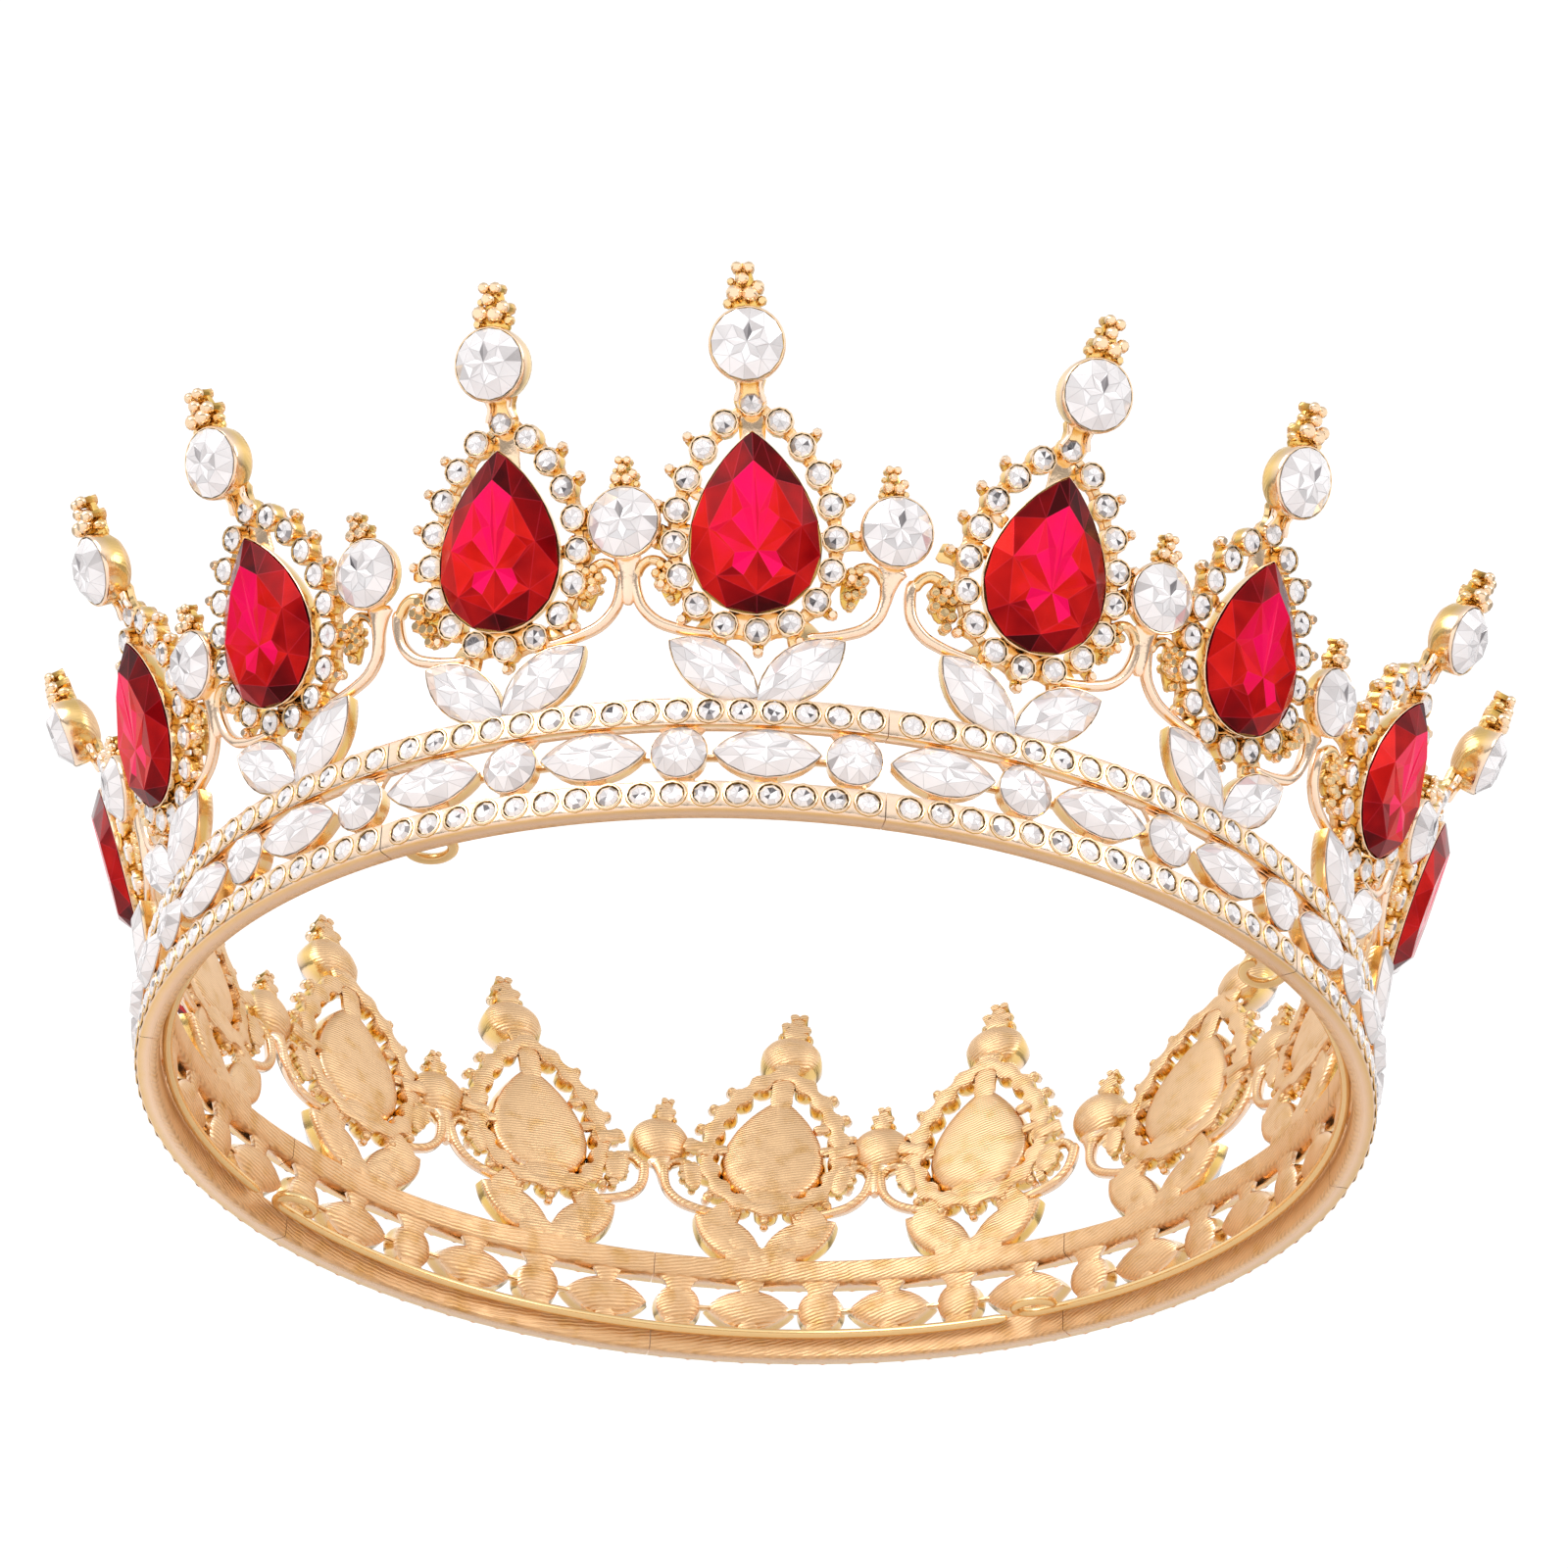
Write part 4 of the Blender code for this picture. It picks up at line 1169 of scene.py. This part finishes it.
floorMesh = bpy.data.meshes.new("floor")
reach = studio["floorReach"]
corners = [(-reach, -reach, 0.0), (reach, -reach, 0.0), (reach, reach, 0.0), (-reach, reach, 0.0)]
floorMesh.from_pydata(corners, [], [(0, 1, 2, 3)])
floor = bpy.data.objects.new("floor", floorMesh)
floor.location.z = studio["floorHeight"]
bpy.context.scene.collection.objects.link(floor)
# seen from below, the floor lets the camera through
floorMaterial, tree, shader = newMaterial("Floor", {"Base Color": studio["floor"], "Roughness": 0.8})
which = addNode(tree, "ShaderNodeNewGeometry").outputs["Backfacing"]
clearSide = addNode(tree, "ShaderNodeBsdfTransparent").outputs[0]
sides = {0: which, 1: tree.nodes["Principled BSDF"].outputs[0], 2: clearSide}
mixSides = addNode(tree, "ShaderNodeMixShader", sides)
tree.links.new(mixSides.outputs[0], tree.nodes["Material Output"].inputs["Surface"])
floorMesh.materials.append(floorMaterial)

world = bpy.data.worlds.new("Studio")
bpy.context.scene.world = world
world.use_nodes = True
tree = world.node_tree
direction = addNode(tree, "ShaderNodeTexCoord").outputs["Generated"]
height = addNode(tree, "ShaderNodeSeparateXYZ", {0: direction}).outputs["Z"]
ramp = addNode(tree, "ShaderNodeValToRGB", {"Fac": addRange(tree, height, -1.0, 1.0)})
stops = ramp.color_ramp.elements
while len(stops) < len(studio["sky"]):
    stops.new(0.5)
for stop, (position, value) in zip(stops, studio["sky"]):
    stop.position = position
    stop.color = (value, value, value, 1.0)
seen = addNode(tree, "ShaderNodeLightPath").outputs["Is Camera Ray"]
pick = addMix(tree, seen, ramp.outputs["Color"], studio["seen"])
tree.links.new(pick, tree.nodes["Background"].inputs["Color"])
tree.nodes["Background"].inputs["Strength"].default_value = studio["world"]

lamps = {"key": ((-0.6, -0.8, 0.7), 0.9, 5.0), "fill": ((0.95, -0.6, 0.5), 0.6, 2.2)}  # place, size, power
lampAim = Vector((0.0, 0.0, 0.03))
for name, (place, size, power) in lamps.items():
    lamp = bpy.data.lights.new(name, "AREA")
    lamp.shape = "DISK"
    lamp.size = size
    lamp.energy = power
    holder = bpy.data.objects.new(name, lamp)
    holder.location = place
    holder.rotation_euler = (lampAim - Vector(place)).to_track_quat("-Z", "Y").to_euler()
    bpy.context.scene.collection.objects.link(holder)

shot = {
    "distance": 0.6905,
    "elevation": -29.91,
    "azimuth": 1.39,
    "roll": 2.73,
    "lookAt": 0.0473,  # height on the ring's axis
    "lens": 125.05,
    "sensor": 36.0,
    "shift": (0.0088, -0.003),
}
camera = bpy.data.cameras.new("camera")
camera.lens = shot["lens"]
camera.sensor_width = shot["sensor"]
camera.shift_x, camera.shift_y = shot["shift"]
camera.clip_start, camera.clip_end = 0.01, 20.0
cameraHolder = bpy.data.objects.new("camera", camera)
bpy.context.scene.collection.objects.link(cameraHolder)
azimuth, elevation = math.radians(shot["azimuth"]), math.radians(shot["elevation"])
flat = math.cos(elevation)
back = Vector((math.sin(azimuth) * flat, -math.cos(azimuth) * flat, math.sin(elevation)))
cameraHolder.location = Vector((0, 0, shot["lookAt"])) + back * shot["distance"]
look = (-back).to_track_quat("-Z", "Y").to_matrix()
cameraHolder.rotation_euler = (look @ Matrix.Rotation(math.radians(shot["roll"]), 3, "Z")).to_euler()
bpy.context.scene.camera = cameraHolder
bpy.context.scene.view_settings.view_transform = "Standard"
print("studio set")
